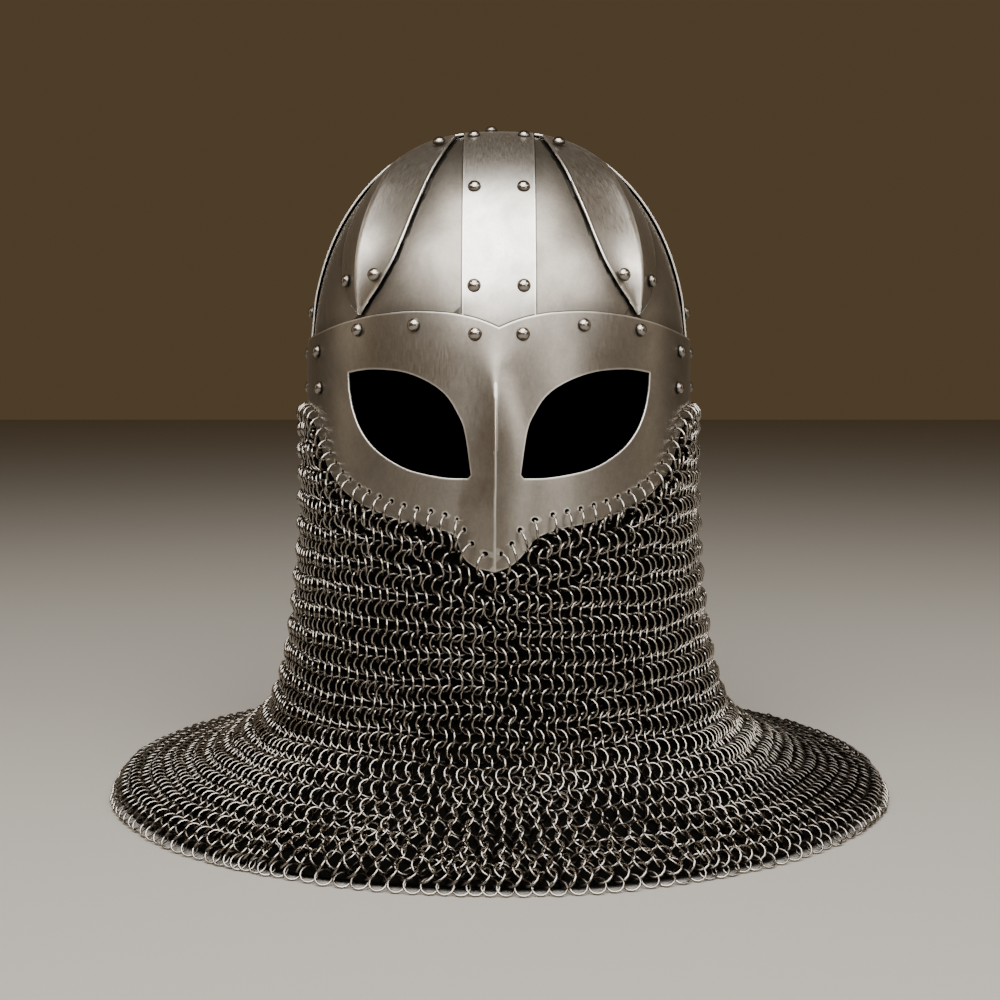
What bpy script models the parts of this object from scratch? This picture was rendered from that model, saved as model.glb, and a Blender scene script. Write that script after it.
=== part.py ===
"""Riveted steel spectacle helmet with a chain mail aventail, standing on the hem of its mail.

Units are metres and +Z is up.  The origin is on the floor under the crown.  The face looks
along -Y, and left and right are those of someone who looks at the face.
Azimuths are degrees round the helmet: 0 at the nose, 90 at its right side, 180 at the nape.
"""
import math

import bmesh
import bpy
from mathutils import Matrix, Vector
from mathutils.geometry import delaunay_2d_cdt

# The skull: half axes of its outer surface, and the height where its wall turns into the dome.
SKULL_HALF_WIDTH = 0.1105
SKULL_HALF_DEPTH = 0.1213
SKULL_RISE = 0.1398
DOME_BASE = 0.245
DOME_FULLNESS = 2.25
SKULL_RIM_SIDE = 0.2335
SKULL_RIM_FRONT = 0.2525
SKULL_WALL_TOP = 0.257
FACE_CUT_AZIMUTHS = (54.0, 63.0)
HEAD_MIDDLE = 0.22

# Plates, and how far the inner face of each layer stands off the skull.
PLATE = 0.0012
BAND_STAND_OFF = 0.0005
FACE_STAND_OFF = 0.0020
GAP = 0.0003

# Bands over the skull, and the leaves between them.
BAND_HALF_WIDTH = 0.0200
BAND_FRONT_END = 0.2640
BAND_END = 0.2600
LEAF_EDGE_GAP = 0.0006
LEAF_INNER_FULLNESS = 1.7
QUARTER_MIDDLE = 45.0

# Face mask and nape band, which meet at a seam on each side.
SEAM_AZIMUTH = 86.0
RIM_HEIGHT = 0.2195
BROW_SIDE_HEIGHT = 0.2655
SHEET_RADIUS = 0.1185
SHEET_SPACING = 0.0125
NOSE_KEEL_TOP = 0.272
NOSE_KEEL_FADE = 0.075
NOSE_KEEL_HEIGHT = 0.0085
NOSE_KEEL_HALF_WIDTH = 0.021
NOSE_KEEL_TOP_SHARE = 0.55
NOSE_KEEL_HOLLOW = 1.35
NOSE_CREASE = (0.151, 0.263)

# Holes that the mail hangs from.
HOLE_RADIUS = 0.00125
HOLE_SIDES = 6
HOLE_MARGIN = 0.0088
HOLE_PITCH = 0.0085
FIRST_HOLE = 0.0042

# Rivet heads.
RIVET_RADIUS = 0.0036
RIVET_HEIGHT = 0.0030
RIVET_SIDES = 8
RIVET_DOME = ((0.68, 0.72), (0.0, 1.0))

# The mail as two walls that meet: a collar that hangs, and a skirt that spreads on the floor.
MAIL_WALL = 0.005
MAIL_SPLIT = 0.066
MAIL_COLUMNS = 48
COLLAR_ROWS = 5
SKIRT_ROWS = 7
SKIRT_CROWDING = 1.5
MAIL_FRONT_CROWDING = 0.4
MAIL_DROP_FRONT = 0.0020
MAIL_DROP_SIDE = 0.0008
MAIL_DROP_AZIMUTHS = (12.0, 50.0)
MAIL_RISE_AZIMUTH = 75.0
HEM_RADIUS = 0.2315
HEM_FLAT = 0.009
NECK_EXTRA_DEPTH = 0.0105
NECK_ROUND_HEIGHTS = (0.030, 0.140)

# How finely the faces follow the curves.
SHARP_ANGLE = 35.0
FINE_STEPS = 400
SKULL_COLUMNS = 36
SKULL_ROWS = 9
SKULL_WALL_ROWS = 1.5
DOME_FIRST_LIFT = 5.0
BAND_COLUMNS = 3
CREST_ROWS = 26
SIDE_BAND_ROWS = 11
LEAF_COLUMNS = 6
LEAF_ROWS = 11
EDGE_PITCH = SHEET_SPACING * 0.72
LOWER_EDGE_PITCH = EDGE_PITCH * 0.8
SEAM_PITCH = EDGE_PITCH * 1.3
LID_PITCH = EDGE_PITCH * 0.72
CREASE_STEPS = 8

# Upper edge of the mask: azimuth, height.
BROW_LINE = (
    (0.0, 0.2705),
    (4.0, 0.2738),
    (8.0, 0.2762),
    (15.0, 0.2785),
    (24.0, 0.2794),
    (35.0, 0.2781),
    (49.0, 0.2743),
    (66.0, 0.2685),
    (78.0, 0.2660),
    (86.0, 0.2655),
)

# Lower edge of the mask: azimuth, height.
LOWER_EDGE = (
    (0.0, 0.1422),
    (4.0, 0.1438),
    (7.0, 0.1475),
    (9.5, 0.1537),
    (11.5, 0.1600),
    (15.0, 0.1629),
    (26.0, 0.1667),
    (39.5, 0.1735),
    (48.0, 0.1801),
    (54.0, 0.1872),
    (58.5, 0.1945),
    (61.5, 0.2025),
    (64.5, 0.2105),
    (69.0, 0.2168),
    (75.0, 0.2193),
    (86.0, 0.2195),
)

# Eye opening from its outer corner along the upper lid, and back along the lower lid.
UPPER_LID = (
    (46.7, 0.2464),
    (38.0, 0.2484),
    (29.0, 0.2477),
    (23.0, 0.2450),
    (17.7, 0.2401),
    (14.0, 0.2342),
    (11.4, 0.2262),
    (9.3, 0.2162),
    (7.6, 0.1930),
)
LOWER_LID = (
    (8.4, 0.1912),
    (14.0, 0.1912),
    (20.6, 0.1930),
    (26.3, 0.1957),
    (32.4, 0.2010),
    (37.8, 0.2078),
    (42.2, 0.2169),
    (45.0, 0.2272),
    (46.4, 0.2376),
)

# Leaf plate of one quarter: elevation above the dome's base centre, azimuths of its edge by
# the crest, of its ridge and of its edge by the side band, and the ridge's rise in millimetres.
LEAF_SECTIONS = (
    (15.9, 40.7, 41.2, 41.7, 0.6),
    (19.0, 37.9, 41.5, 46.0, 2.4),
    (22.8, 34.6, 42.0, 49.9, 4.0),
    (30.6, 30.1, 43.5, 55.3, 5.5),
    (38.9, 27.9, 44.8, 59.9, 6.0),
    (49.2, 26.6, 47.0, 63.5, 5.4),
    (60.0, 27.0, 53.0, 67.5, 3.3),
    (69.0, 31.0, 50.5, 61.5, 1.9),
    (76.0, 42.5, 46.5, 50.5, 0.6),
)

# Outer surface of the mail, from the neck down: height, radius.
MAIL_PROFILE = (
    (0.2350, 0.1181),
    (0.2000, 0.1183),
    (0.1700, 0.1187),
    (0.1400, 0.1200),
    (0.1150, 0.1227),
    (0.0950, 0.1254),
    (0.0800, 0.1279),
    (0.0670, 0.1309),
    (0.0550, 0.1352),
    (0.0450, 0.1417),
    (0.0360, 0.1528),
    (0.0280, 0.1669),
    (0.0210, 0.1825),
    (0.0150, 0.1990),
    (0.0105, 0.2140),
    (0.0070, 0.2258),
    (0.0045, 0.2315),
)

# Rivets of the plates: name, azimuth, height.
FACE_RIVETS = (
    ("brow_inner", 6.4, 0.2672),
    ("brow_middle", 23.6, 0.2720),
    ("brow_outer", 42.9, 0.2697),
    ("cheek_upper", 64.5, 0.2583),
    ("cheek_lower", 62.8, 0.2377),
)
NAPE_RIVETS = (
    ("temple_upper", 92.5, 0.2575),
    ("temple_lower", 92.5, 0.2372),
    ("nape", 138.0, 0.2590),
)
NAPE_MIDDLE_RIVET = (180.0, 0.2590)

# Rivets of the crest band in front and behind: name, distance from the middle, height.
CREST_RIVETS = (
    ("low", 0.0132, 0.2929),
    ("mid", 0.0133, 0.3471),
    ("top", 0.0142, 0.3806),
)
CROWN_RIVET = (-0.0045, math.pi / 2 - 0.09)

# Rivets of the side bands: name, distance from the middle towards the back, height.
SIDE_RIVETS = (
    ("low_front", -0.0150, 0.2815),
    ("low_back", 0.0135, 0.2812),
    ("top_back", 0.0130, 0.3790),
)

# Rivets of the leaves: name, azimuth, elevation.
LEAF_RIVETS = (
    ("inner", 36.0, 25.5),
    ("outer", 47.0, 24.7),
    ("top", 37.5, 67.0),
)

STEEL_COLOUR = (0.26, 0.235, 0.205)
RIVET_COLOUR = (0.36, 0.34, 0.31)
MAIL_COLOUR = (0.13, 0.11, 0.09)


def clear_scene():
    """Remove every object that the file opened with."""
    for old in list(bpy.data.objects):
        bpy.data.objects.remove(old, do_unlink=True)


def steel(name, colour, roughness):
    """A metal of this colour for one sub-part."""
    material = bpy.data.materials.new(name)
    material.use_nodes = True
    shader = material.node_tree.nodes["Principled BSDF"]
    shader.inputs["Base Color"].default_value = (*colour, 1.0)
    shader.inputs["Metallic"].default_value = 1.0
    shader.inputs["Roughness"].default_value = roughness
    return material


def smooth_through(table, place):
    """The value at this place of a smooth curve through rows of (place, value)."""
    rows = sorted(table)
    if place <= rows[0][0]:
        return rows[0][1]
    if place >= rows[-1][0]:
        return rows[-1][1]
    slopes = []
    for before, after in zip(rows, rows[1:]):
        slopes.append((after[1] - before[1]) / (after[0] - before[0]))
    tangents = [slopes[0]]
    for left, right in zip(slopes, slopes[1:]):
        turning = left * right <= 0
        tangents.append(0.0 if turning else 2 * left * right / (left + right))
    tangents.append(slopes[-1])
    index = max(i for i in range(len(rows) - 1) if rows[i][0] <= place)
    (start, low), (end, high) = rows[index], rows[index + 1]
    span = end - start
    t = (place - start) / span
    return (
        low * (1 + 2 * t) * (1 - t) ** 2
        + tangents[index] * span * t * (1 - t) ** 2
        + high * t * t * (3 - 2 * t)
        + tangents[index + 1] * span * t * t * (t - 1)
    )


def column_of(table, column):
    """Rows of (first column, chosen column) of a wider table."""
    return [(row[0], row[column]) for row in table]


def spread(start, end, steps):
    """Evenly spaced values from start to end, both included."""
    return [start + (end - start) * i / steps for i in range(steps + 1)]


def blend(start, end, value):
    """0 at start, 1 at end, easing in and out between them."""
    t = min(1.0, max(0.0, (value - start) / (end - start)))
    return t * t * (3 - 2 * t)


def skull_point(azimuth, height, stand_off):
    """The point at this azimuth and height on a surface that stands off the skull."""
    turn = math.radians(azimuth)
    up = max(0.0, (height - DOME_BASE) / (SKULL_RISE + stand_off))
    closing = (1.0 - min(1.0, up) ** DOME_FULLNESS) ** (1.0 / DOME_FULLNESS)
    return Vector((
        (SKULL_HALF_WIDTH + stand_off) * math.sin(turn) * closing,
        -(SKULL_HALF_DEPTH + stand_off) * math.cos(turn) * closing,
        height,
    ))


def dome_point(direction, stand_off):
    """Where this direction from the dome's base centre meets a surface off the skull."""
    wide = direction.x / (SKULL_HALF_WIDTH + stand_off)
    deep = direction.y / (SKULL_HALF_DEPTH + stand_off)
    high = abs(direction.z) / (SKULL_RISE + stand_off)
    reach = (wide * wide + deep * deep) ** (DOME_FULLNESS / 2) + high ** DOME_FULLNESS
    return direction * reach ** (-1.0 / DOME_FULLNESS) + Vector((0, 0, DOME_BASE))


def dome_direction(azimuth, elevation):
    """Unit direction from the dome's base centre."""
    turn = math.radians(azimuth)
    lift = math.radians(elevation)
    return Vector((
        math.sin(turn) * math.cos(lift),
        -math.cos(turn) * math.cos(lift),
        math.sin(lift),
    ))


def outward(surface, first, second, step):
    """Normal of a surface given as a function of two values."""
    along = surface(first + step, second) - surface(first - step, second)
    across = surface(first, second + step) - surface(first, second - step)
    normal = along.cross(across).normalized()
    away = surface(first, second) - Vector((0, 0, HEAD_MIDDLE))
    return normal if normal.dot(away) > 0 else -normal


def mapped_grid(columns, rows, place, close_columns=False, close_rows=False):
    """A grid whose vertices go where place(u, v) says, u and v from 0 to 1."""
    bm = bmesh.new()
    bmesh.ops.create_grid(bm, x_segments=columns, y_segments=rows, size=0.5)
    for vertex in bm.verts:
        vertex.co = place(vertex.co.x + 0.5, vertex.co.y + 0.5)
    if close_columns or close_rows:
        bmesh.ops.remove_doubles(bm, verts=bm.verts, dist=1e-6)
    bmesh.ops.recalc_face_normals(bm, faces=bm.faces)
    return bm


def add_object(name, bm, material):
    """Turn a bmesh into a named object with this material."""
    mesh = bpy.data.meshes.new(name)
    bm.to_mesh(mesh)
    bm.free()
    mesh.shade_smooth()
    mesh.set_sharp_from_angle(angle=math.radians(SHARP_ANGLE))
    piece = bpy.data.objects.new(name, mesh)
    piece.data.materials.append(material)
    bpy.context.scene.collection.objects.link(piece)
    return piece


def face_away(bm):
    """Turn the faces of an open sheet away from the middle of the helmet."""
    middle = Vector((0, 0, HEAD_MIDDLE))
    bm.normal_update()
    pointing = 0.0
    for face in bm.faces:
        pointing += (face.calc_center_median() - middle).dot(face.normal) * face.calc_area()
    if pointing < 0:
        bmesh.ops.reverse_faces(bm, faces=bm.faces)


def add_plate(name, bm, material):
    """An open sheet, which is the plate's inner face, given its thickness outwards."""
    face_away(bm)
    piece = add_object(name, bm, material)
    wall = piece.modifiers.new("plate thickness", 'SOLIDIFY')
    wall.thickness = PLATE
    wall.offset = 1.0
    wall.use_even_offset = False
    return piece


def skull_rim(azimuth):
    """Height of the skull's lower edge, which is cut away over the face."""
    side = abs((azimuth + 180.0) % 360.0 - 180.0)
    return SKULL_RIM_FRONT + (SKULL_RIM_SIDE - SKULL_RIM_FRONT) * blend(*FACE_CUT_AZIMUTHS, side)


def build_skull(material):
    """The domed skull in one plate, open below."""
    wall_share = SKULL_WALL_ROWS / SKULL_ROWS

    def place(u, v):
        azimuth = 360.0 * u
        if v > 1.0 - 1e-6:
            return Vector((0, 0, DOME_BASE + SKULL_RISE - PLATE))
        if v < wall_share - 1e-6:
            low = skull_rim(azimuth)
            height = low + (SKULL_WALL_TOP - low) * v / wall_share
            return skull_point(azimuth, height, -PLATE)
        share = (v - wall_share) / (1.0 - wall_share)
        lift = math.radians(DOME_FIRST_LIFT + (90.0 - DOME_FIRST_LIFT) * share)
        height = DOME_BASE + (SKULL_RISE - PLATE) * math.sin(lift) ** (2.0 / DOME_FULLNESS)
        return skull_point(azimuth, height, -PLATE)

    bm = mapped_grid(SKULL_COLUMNS, SKULL_ROWS, place, close_columns=True)
    return add_plate("skull_shell", bm, material)


def band_point(across, lift, stand_off, fore_and_aft):
    """A point of a strip that crosses the dome, at this angle up its arch."""
    rise = (SKULL_RISE + stand_off) * abs(math.sin(lift)) ** (2.0 / DOME_FULLNESS)
    reach = math.copysign(abs(math.cos(lift)) ** (2.0 / DOME_FULLNESS), math.cos(lift))
    if fore_and_aft:
        direction = Vector((across, -(SKULL_HALF_DEPTH + stand_off) * reach, rise))
    else:
        direction = Vector(((SKULL_HALF_WIDTH + stand_off) * reach, across, rise))
    return dome_point(direction, stand_off)


def lift_at(height, stand_off):
    """The angle up a band's arch that has this height."""
    share = (height - DOME_BASE) / (SKULL_RISE + stand_off)
    return math.asin(share ** (DOME_FULLNESS / 2.0))


def build_crest_band(material):
    """The strap from the brow over the crown to the nape."""
    first = lift_at(BAND_FRONT_END, BAND_STAND_OFF)
    last = math.pi - lift_at(BAND_END, BAND_STAND_OFF)

    def place(u, v):
        across = (u * 2.0 - 1.0) * BAND_HALF_WIDTH
        return band_point(across, first + (last - first) * v, BAND_STAND_OFF, True)

    return add_plate("crest_band", mapped_grid(BAND_COLUMNS, CREST_ROWS, place), material)


def build_side_band(name, side, material):
    """The strap from the crest down to one ear."""
    first = lift_at(BAND_END, BAND_STAND_OFF)
    inner_end = (BAND_HALF_WIDTH + 2.0 * GAP) / (SKULL_HALF_WIDTH + BAND_STAND_OFF)
    last = math.acos(inner_end ** (DOME_FULLNESS / 2.0))

    def place(u, v):
        across = (u * 2.0 - 1.0) * BAND_HALF_WIDTH
        point = band_point(across, first + (last - first) * v, BAND_STAND_OFF, False)
        point.x *= side
        return point

    return add_plate(name, mapped_grid(BAND_COLUMNS, SIDE_BAND_ROWS, place), material)


def leaf_edges(elevation):
    """Azimuths of a leaf's two edges and its ridge, clear of the bands beside it."""
    crest_side = smooth_through(column_of(LEAF_SECTIONS, 1), elevation)
    ridge = smooth_through(column_of(LEAF_SECTIONS, 2), elevation)
    band_side = smooth_through(column_of(LEAF_SECTIONS, 3), elevation)
    level = dome_point(dome_direction(QUARTER_MIDDLE, elevation), BAND_STAND_OFF)
    radius = math.hypot(level.x, level.y)
    clear = math.degrees(math.asin((BAND_HALF_WIDTH + LEAF_EDGE_GAP) / radius))
    crest_side = max(crest_side, clear)
    band_side = min(band_side, 90.0 - clear)
    ridge = min(max(ridge, crest_side + 0.5), band_side - 0.5)
    return crest_side, ridge, band_side


def leaf_point(across, along):
    """Inner face of the front right leaf; across runs from -1 at the crest side to 1."""
    elevation = LEAF_SECTIONS[0][0] + (LEAF_SECTIONS[-1][0] - LEAF_SECTIONS[0][0]) * along
    crest_side, ridge, band_side = leaf_edges(elevation)
    rise = smooth_through(column_of(LEAF_SECTIONS, 4), elevation) * 0.001
    if across < 0:
        azimuth = ridge + (crest_side - ridge) * -across
        lift = rise * (1.0 - (-across) ** LEAF_INNER_FULLNESS)
    else:
        azimuth = ridge + (band_side - ridge) * across
        lift = rise * (1.0 - across)
    return dome_point(dome_direction(azimuth, elevation), BAND_STAND_OFF + lift)


def mirrored(point, side, end):
    """A point of the front right quarter taken to another quarter."""
    return Vector((point.x * side, point.y * end, point.z))


def build_leaf(name, side, end, material):
    """One ridged leaf plate, pointed at the brow and at the crown."""

    def place(u, v):
        return mirrored(leaf_point(u * 2.0 - 1.0, v), side, end)

    return add_plate(name, mapped_grid(LEAF_COLUMNS, LEAF_ROWS, place), material)


def keel_rise(x, height):
    """How far the ridge of the nose stands out in front of the mask."""
    start = blend(NOSE_KEEL_TOP, NOSE_KEEL_TOP - NOSE_KEEL_FADE, height)
    widening = NOSE_KEEL_TOP_SHARE + (1.0 - NOSE_KEEL_TOP_SHARE) * start
    half_width = NOSE_KEEL_HALF_WIDTH * widening
    share = abs(x) / half_width
    if share >= 1.0:
        return 0.0
    return NOSE_KEEL_HEIGHT * start * (1.0 - share) ** NOSE_KEEL_HOLLOW


def face_point(azimuth, height, stand_off):
    """A point of the mask, with the nose keel."""
    point = skull_point(azimuth, height, stand_off)
    if abs(azimuth) < 90.0:
        point.y -= keel_rise(point.x, height)
    return point


def flat(azimuth, height):
    """Place on the unrolled sheet, in metres along the plate and up."""
    return Vector((math.radians(azimuth) * SHEET_RADIUS, height))


def thinned(points, pitch):
    """Points at about this pitch along an open chain of points, with its two ends."""
    lengths = [0.0]
    for before, after in zip(points, points[1:]):
        lengths.append(lengths[-1] + (after - before).length)
    steps = max(1, round(lengths[-1] / pitch))
    result = []
    for wanted in spread(0.0, lengths[-1], steps):
        index = 0
        while index < len(points) - 2 and lengths[index + 1] < wanted:
            index += 1
        span = lengths[index + 1] - lengths[index]
        share = 0.0 if span == 0.0 else (wanted - lengths[index]) / span
        result.append(points[index].lerp(points[index + 1], min(1.0, share)))
    return result


def edge_chain(table, first, last, pitch):
    """An edge given as heights by azimuth, unrolled and evenly divided."""
    fine = [flat(a, smooth_through(table, a)) for a in spread(first, last, FINE_STEPS)]
    return thinned(fine, pitch)


def lid_chain(table, pitch):
    """One lid of the right eye as a smooth chain through its points."""
    nodes = [flat(a, h) for a, h in table]
    fine = []
    for i in range(len(nodes) - 1):
        before = nodes[max(0, i - 1)]
        after = nodes[min(len(nodes) - 1, i + 2)]
        for t in spread(0.0, 1.0, 8)[:-1]:
            fine.append(0.5 * (
                2.0 * nodes[i]
                + (nodes[i + 1] - before) * t
                + (2.0 * before - 5.0 * nodes[i] + 4.0 * nodes[i + 1] - after) * t * t
                + (3.0 * nodes[i] - before - 3.0 * nodes[i + 1] + after) * t ** 3
            ))
    fine.append(nodes[-1])
    return thinned(fine, pitch)


def flipped(points):
    """The same points on the other side of the nose, in the other order."""
    return [Vector((-p.x, p.y)) for p in reversed(points)]


def hole_loop(centre):
    """The outline of one mail hole."""
    turns = [2.0 * math.pi * i / HOLE_SIDES for i in range(HOLE_SIDES)]
    return [centre + Vector((math.cos(t), math.sin(t))) * HOLE_RADIUS for t in turns]


def inside(point, loop):
    """Whether a point lies inside a closed loop."""
    crossing = False
    for a, b in zip(loop, loop[1:] + loop[:1]):
        if (a.y > point.y) != (b.y > point.y):
            if point.x < a.x + (b.x - a.x) * (point.y - a.y) / (b.y - a.y):
                crossing = not crossing
    return crossing


def distance_to(point, loop):
    """Shortest distance from a point to a closed loop."""
    nearest = 1.0
    for a, b in zip(loop, loop[1:] + loop[:1]):
        side = b - a
        share = min(1.0, max(0.0, (point - a).dot(side) / side.length_squared))
        nearest = min(nearest, (point - a - side * share).length)
    return nearest


def cut_sheet(outline, openings, crease):
    """A flat sheet of triangles inside the outline, with openings, kept even in size."""
    loops = [outline] + openings
    points = [p for loop in loops for p in loop]
    edges = []
    start = 0
    for loop in loops:
        edges += [(start + i, start + (i + 1) % len(loop)) for i in range(len(loop))]
        start += len(loop)
    edges += [(start + i, start + i + 1) for i in range(len(crease) - 1)]
    points += crease
    lows = [min(p[i] for p in outline) for i in range(2)]
    highs = [max(p[i] for p in outline) for i in range(2)]
    keep_off = SHEET_SPACING * 0.55
    rows = int((highs[1] - lows[1]) / SHEET_SPACING)
    columns = int((highs[0] - lows[0]) / SHEET_SPACING)
    for row in range(rows + 1):
        shift = 0.25 if row % 2 else -0.25
        for column in range(columns + 1):
            spot = Vector((
                (lows[0] + highs[0]) / 2 + (column - columns / 2 + shift) * SHEET_SPACING,
                lows[1] + (row + 0.5) * SHEET_SPACING,
            ))
            if not inside(spot, outline) or any(inside(spot, hole) for hole in openings):
                continue
            if all((spot - p).length > keep_off for p in points):
                if all(distance_to(spot, loop) > keep_off * 0.6 for loop in loops):
                    points.append(spot)
    flat_points, _, faces, _, _, _ = delaunay_2d_cdt(points, edges, [], 0, 1e-7)
    bm = bmesh.new()
    vertices = [bm.verts.new((p.x, p.y, 0.0)) for p in flat_points]
    for face in faces:
        middle = sum((flat_points[i] for i in face), Vector((0.0, 0.0))) / len(face)
        if inside(middle, outline) and not any(inside(middle, hole) for hole in openings):
            bm.faces.new([vertices[i] for i in face])
    loose = [v for v in bm.verts if not v.link_faces]
    bmesh.ops.delete(bm, geom=loose, context='VERTS')
    return bm


def roll_up(bm, surface, stand_off):
    """Bend a flat sheet round the helmet."""
    for vertex in bm.verts:
        azimuth = math.degrees(vertex.co.x / SHEET_RADIUS)
        vertex.co = surface(azimuth, vertex.co.y, stand_off)


def mask_hole_centres():
    """Centres of the mail holes along the right half of the mask's lower edge."""
    margin = math.degrees(HOLE_MARGIN / SHEET_RADIUS)
    azimuths = spread(-margin, SEAM_AZIMUTH + margin, FINE_STEPS)
    fine = [flat(a, smooth_through(LOWER_EDGE, abs(a))) for a in azimuths]
    inner = []
    for before, here, after in zip(fine, fine[1:], fine[2:]):
        along = (after - before).normalized()
        inner.append(here + Vector((-along.y, along.x)) * HOLE_MARGIN)
    last = flat(SEAM_AZIMUTH, 0).x - HOLE_PITCH / 2
    between = [p for p in inner if FIRST_HOLE <= p.x < last]
    clear = [p for p in between if distance_to(p, fine) > HOLE_MARGIN * 0.97]
    return thinned(clear, HOLE_PITCH)


def build_face_mask(material):
    """Brow, eye surrounds, cheeks and nose guard in one plate."""
    brow = edge_chain(BROW_LINE, SEAM_AZIMUTH, 0.0, EDGE_PITCH)
    lower = edge_chain(LOWER_EDGE, 0.0, SEAM_AZIMUTH, LOWER_EDGE_PITCH)
    side = thinned([lower[-1], brow[0]], SEAM_PITCH)
    right_half = lower + side[1:-1] + brow
    outline = right_half + flipped(right_half)[1:-1]
    eye = lid_chain(UPPER_LID, LID_PITCH) + lid_chain(LOWER_LID, LID_PITCH)
    holes = [hole_loop(c) for c in mask_hole_centres()]
    openings = [eye, flipped(eye)] + holes + [flipped(loop) for loop in holes]
    crease = [Vector((0.0, h)) for h in spread(*NOSE_CREASE, CREASE_STEPS)]
    bm = cut_sheet(outline, openings, crease)
    roll_up(bm, face_point, FACE_STAND_OFF)
    return add_plate("face_mask", bm, material)


def build_nape_band(material):
    """The plain rim band round the back, from seam to seam."""
    seam = SEAM_AZIMUTH + math.degrees(GAP / SHEET_RADIUS)
    start = flat(seam, 0).x
    end = flat(360.0 - seam, 0).x
    corners = [Vector((start, RIM_HEIGHT)), Vector((end, RIM_HEIGHT))]
    corners += [Vector((end, BROW_SIDE_HEIGHT)), Vector((start, BROW_SIDE_HEIGHT))]
    outline = []
    for before, after in zip(corners, corners[1:] + corners[:1]):
        outline += thinned([before, after], SHEET_SPACING)[:-1]
    margin = HOLE_PITCH * 0.55
    first_hole = Vector((start + margin, RIM_HEIGHT + HOLE_MARGIN))
    last_hole = Vector((end - margin, RIM_HEIGHT + HOLE_MARGIN))
    holes = [hole_loop(c) for c in thinned([first_hole, last_hole], HOLE_PITCH)]
    bm = cut_sheet(outline, holes, [])
    roll_up(bm, skull_point, FACE_STAND_OFF)
    return add_plate("nape_band", bm, material)


def mail_azimuth(u):
    """Azimuth of a column of the mail; the columns stand closer together in front."""
    turn = 2.0 * math.pi * u
    return math.degrees(turn - MAIL_FRONT_CROWDING * math.sin(turn))


def mail_top(azimuth):
    """Height of the mail's upper edge, just under the plates."""
    side = abs((azimuth + 180.0) % 360.0 - 180.0)
    if side >= SEAM_AZIMUTH:
        return RIM_HEIGHT - GAP
    easing = blend(*MAIL_DROP_AZIMUTHS, side)
    drop = MAIL_DROP_FRONT + (MAIL_DROP_SIDE - MAIL_DROP_FRONT) * easing
    drop *= 1.0 - blend(MAIL_RISE_AZIMUTH, SEAM_AZIMUTH, side)
    return smooth_through(LOWER_EDGE, side) - GAP - drop


def mail_point(azimuth, height, inset):
    """A point of the mail's outer surface, or inset from it."""
    turn = math.radians(azimuth)
    radius = smooth_through(MAIL_PROFILE, height)
    lower = smooth_through(MAIL_PROFILE, height - 0.001)
    slope = (lower - radius) / 0.001
    tilt = math.hypot(1.0, slope)
    radius -= inset / tilt
    depth = radius + NECK_EXTRA_DEPTH * blend(*NECK_ROUND_HEIGHTS, height)
    return Vector((radius * math.sin(turn), -depth * math.cos(turn), height - inset * slope / tilt))


def hem_point(turn, inset):
    """A point of the flat underside of the hem, on the floor."""
    radius = HEM_RADIUS - inset
    return Vector((radius * math.sin(turn), -radius * math.cos(turn), 0.0))


def build_collar(material):
    """The upper mail, which hangs from the plates' lower edge."""
    steps = 2 * COLLAR_ROWS + 1

    def place(u, v):
        azimuth = mail_azimuth(u)
        top = mail_top(azimuth)
        step = round(v * (steps + 1)) % (steps + 1)
        if step <= COLLAR_ROWS:
            share = 1.0 - step / COLLAR_ROWS
            return mail_point(azimuth, MAIL_SPLIT + (top - MAIL_SPLIT) * share, 0.0)
        share = (step - COLLAR_ROWS - 1) / COLLAR_ROWS
        point = mail_point(azimuth, MAIL_SPLIT + (top - MAIL_SPLIT) * share, MAIL_WALL)
        point.z = min(point.z, top)
        return point

    bm = mapped_grid(MAIL_COLUMNS, steps + 1, place, close_columns=True, close_rows=True)
    return add_object("mail_collar", bm, material)


def build_skirt(material):
    """The lower mail, which flares out and rests on the floor."""
    steps = 2 * SKIRT_ROWS + 3
    top = MAIL_SPLIT - GAP
    low = MAIL_PROFILE[-1][0]

    def place(u, v):
        azimuth = mail_azimuth(u)
        turn = math.radians(azimuth)
        step = round(v * (steps + 1)) % (steps + 1)
        if step <= SKIRT_ROWS:
            share = 1.0 - step / SKIRT_ROWS
            return mail_point(azimuth, low + (top - low) * share ** SKIRT_CROWDING, 0.0)
        if step == SKIRT_ROWS + 1:
            return hem_point(turn, 0.0)
        if step == SKIRT_ROWS + 2:
            return hem_point(turn, HEM_FLAT)
        share = (step - SKIRT_ROWS - 2) / (SKIRT_ROWS + 1)
        return mail_point(azimuth, low + (top - low) * share ** SKIRT_CROWDING, MAIL_WALL)

    bm = mapped_grid(MAIL_COLUMNS, steps + 1, place, close_columns=True, close_rows=True)
    return add_object("mail_skirt", bm, material)


def rivet_mesh(material):
    """The low dome that every rivet head shares, its flat side down at the origin."""
    bm = bmesh.new()
    bmesh.ops.create_circle(bm, cap_ends=True, segments=RIVET_SIDES, radius=RIVET_RADIUS)
    base = list(bm.faces)
    bmesh.ops.reverse_faces(bm, faces=base)
    ring = list(bm.edges)
    for share, height in RIVET_DOME:
        grown = bmesh.ops.extrude_edge_only(bm, edges=ring)["geom"]
        ring = [g for g in grown if isinstance(g, bmesh.types.BMEdge)]
        for vertex in {v for edge in ring for v in edge.verts}:
            level = vertex.co.xy.normalized() * RIVET_RADIUS * share
            vertex.co = Vector((level.x, level.y, RIVET_HEIGHT * height))
    bmesh.ops.remove_doubles(bm, verts=bm.verts, dist=1e-6)
    bmesh.ops.recalc_face_normals(bm, faces=bm.faces)
    mesh = bpy.data.meshes.new("rivet_head")
    bm.to_mesh(mesh)
    bm.free()
    mesh.shade_smooth()
    mesh.materials.append(material)
    return mesh


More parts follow.
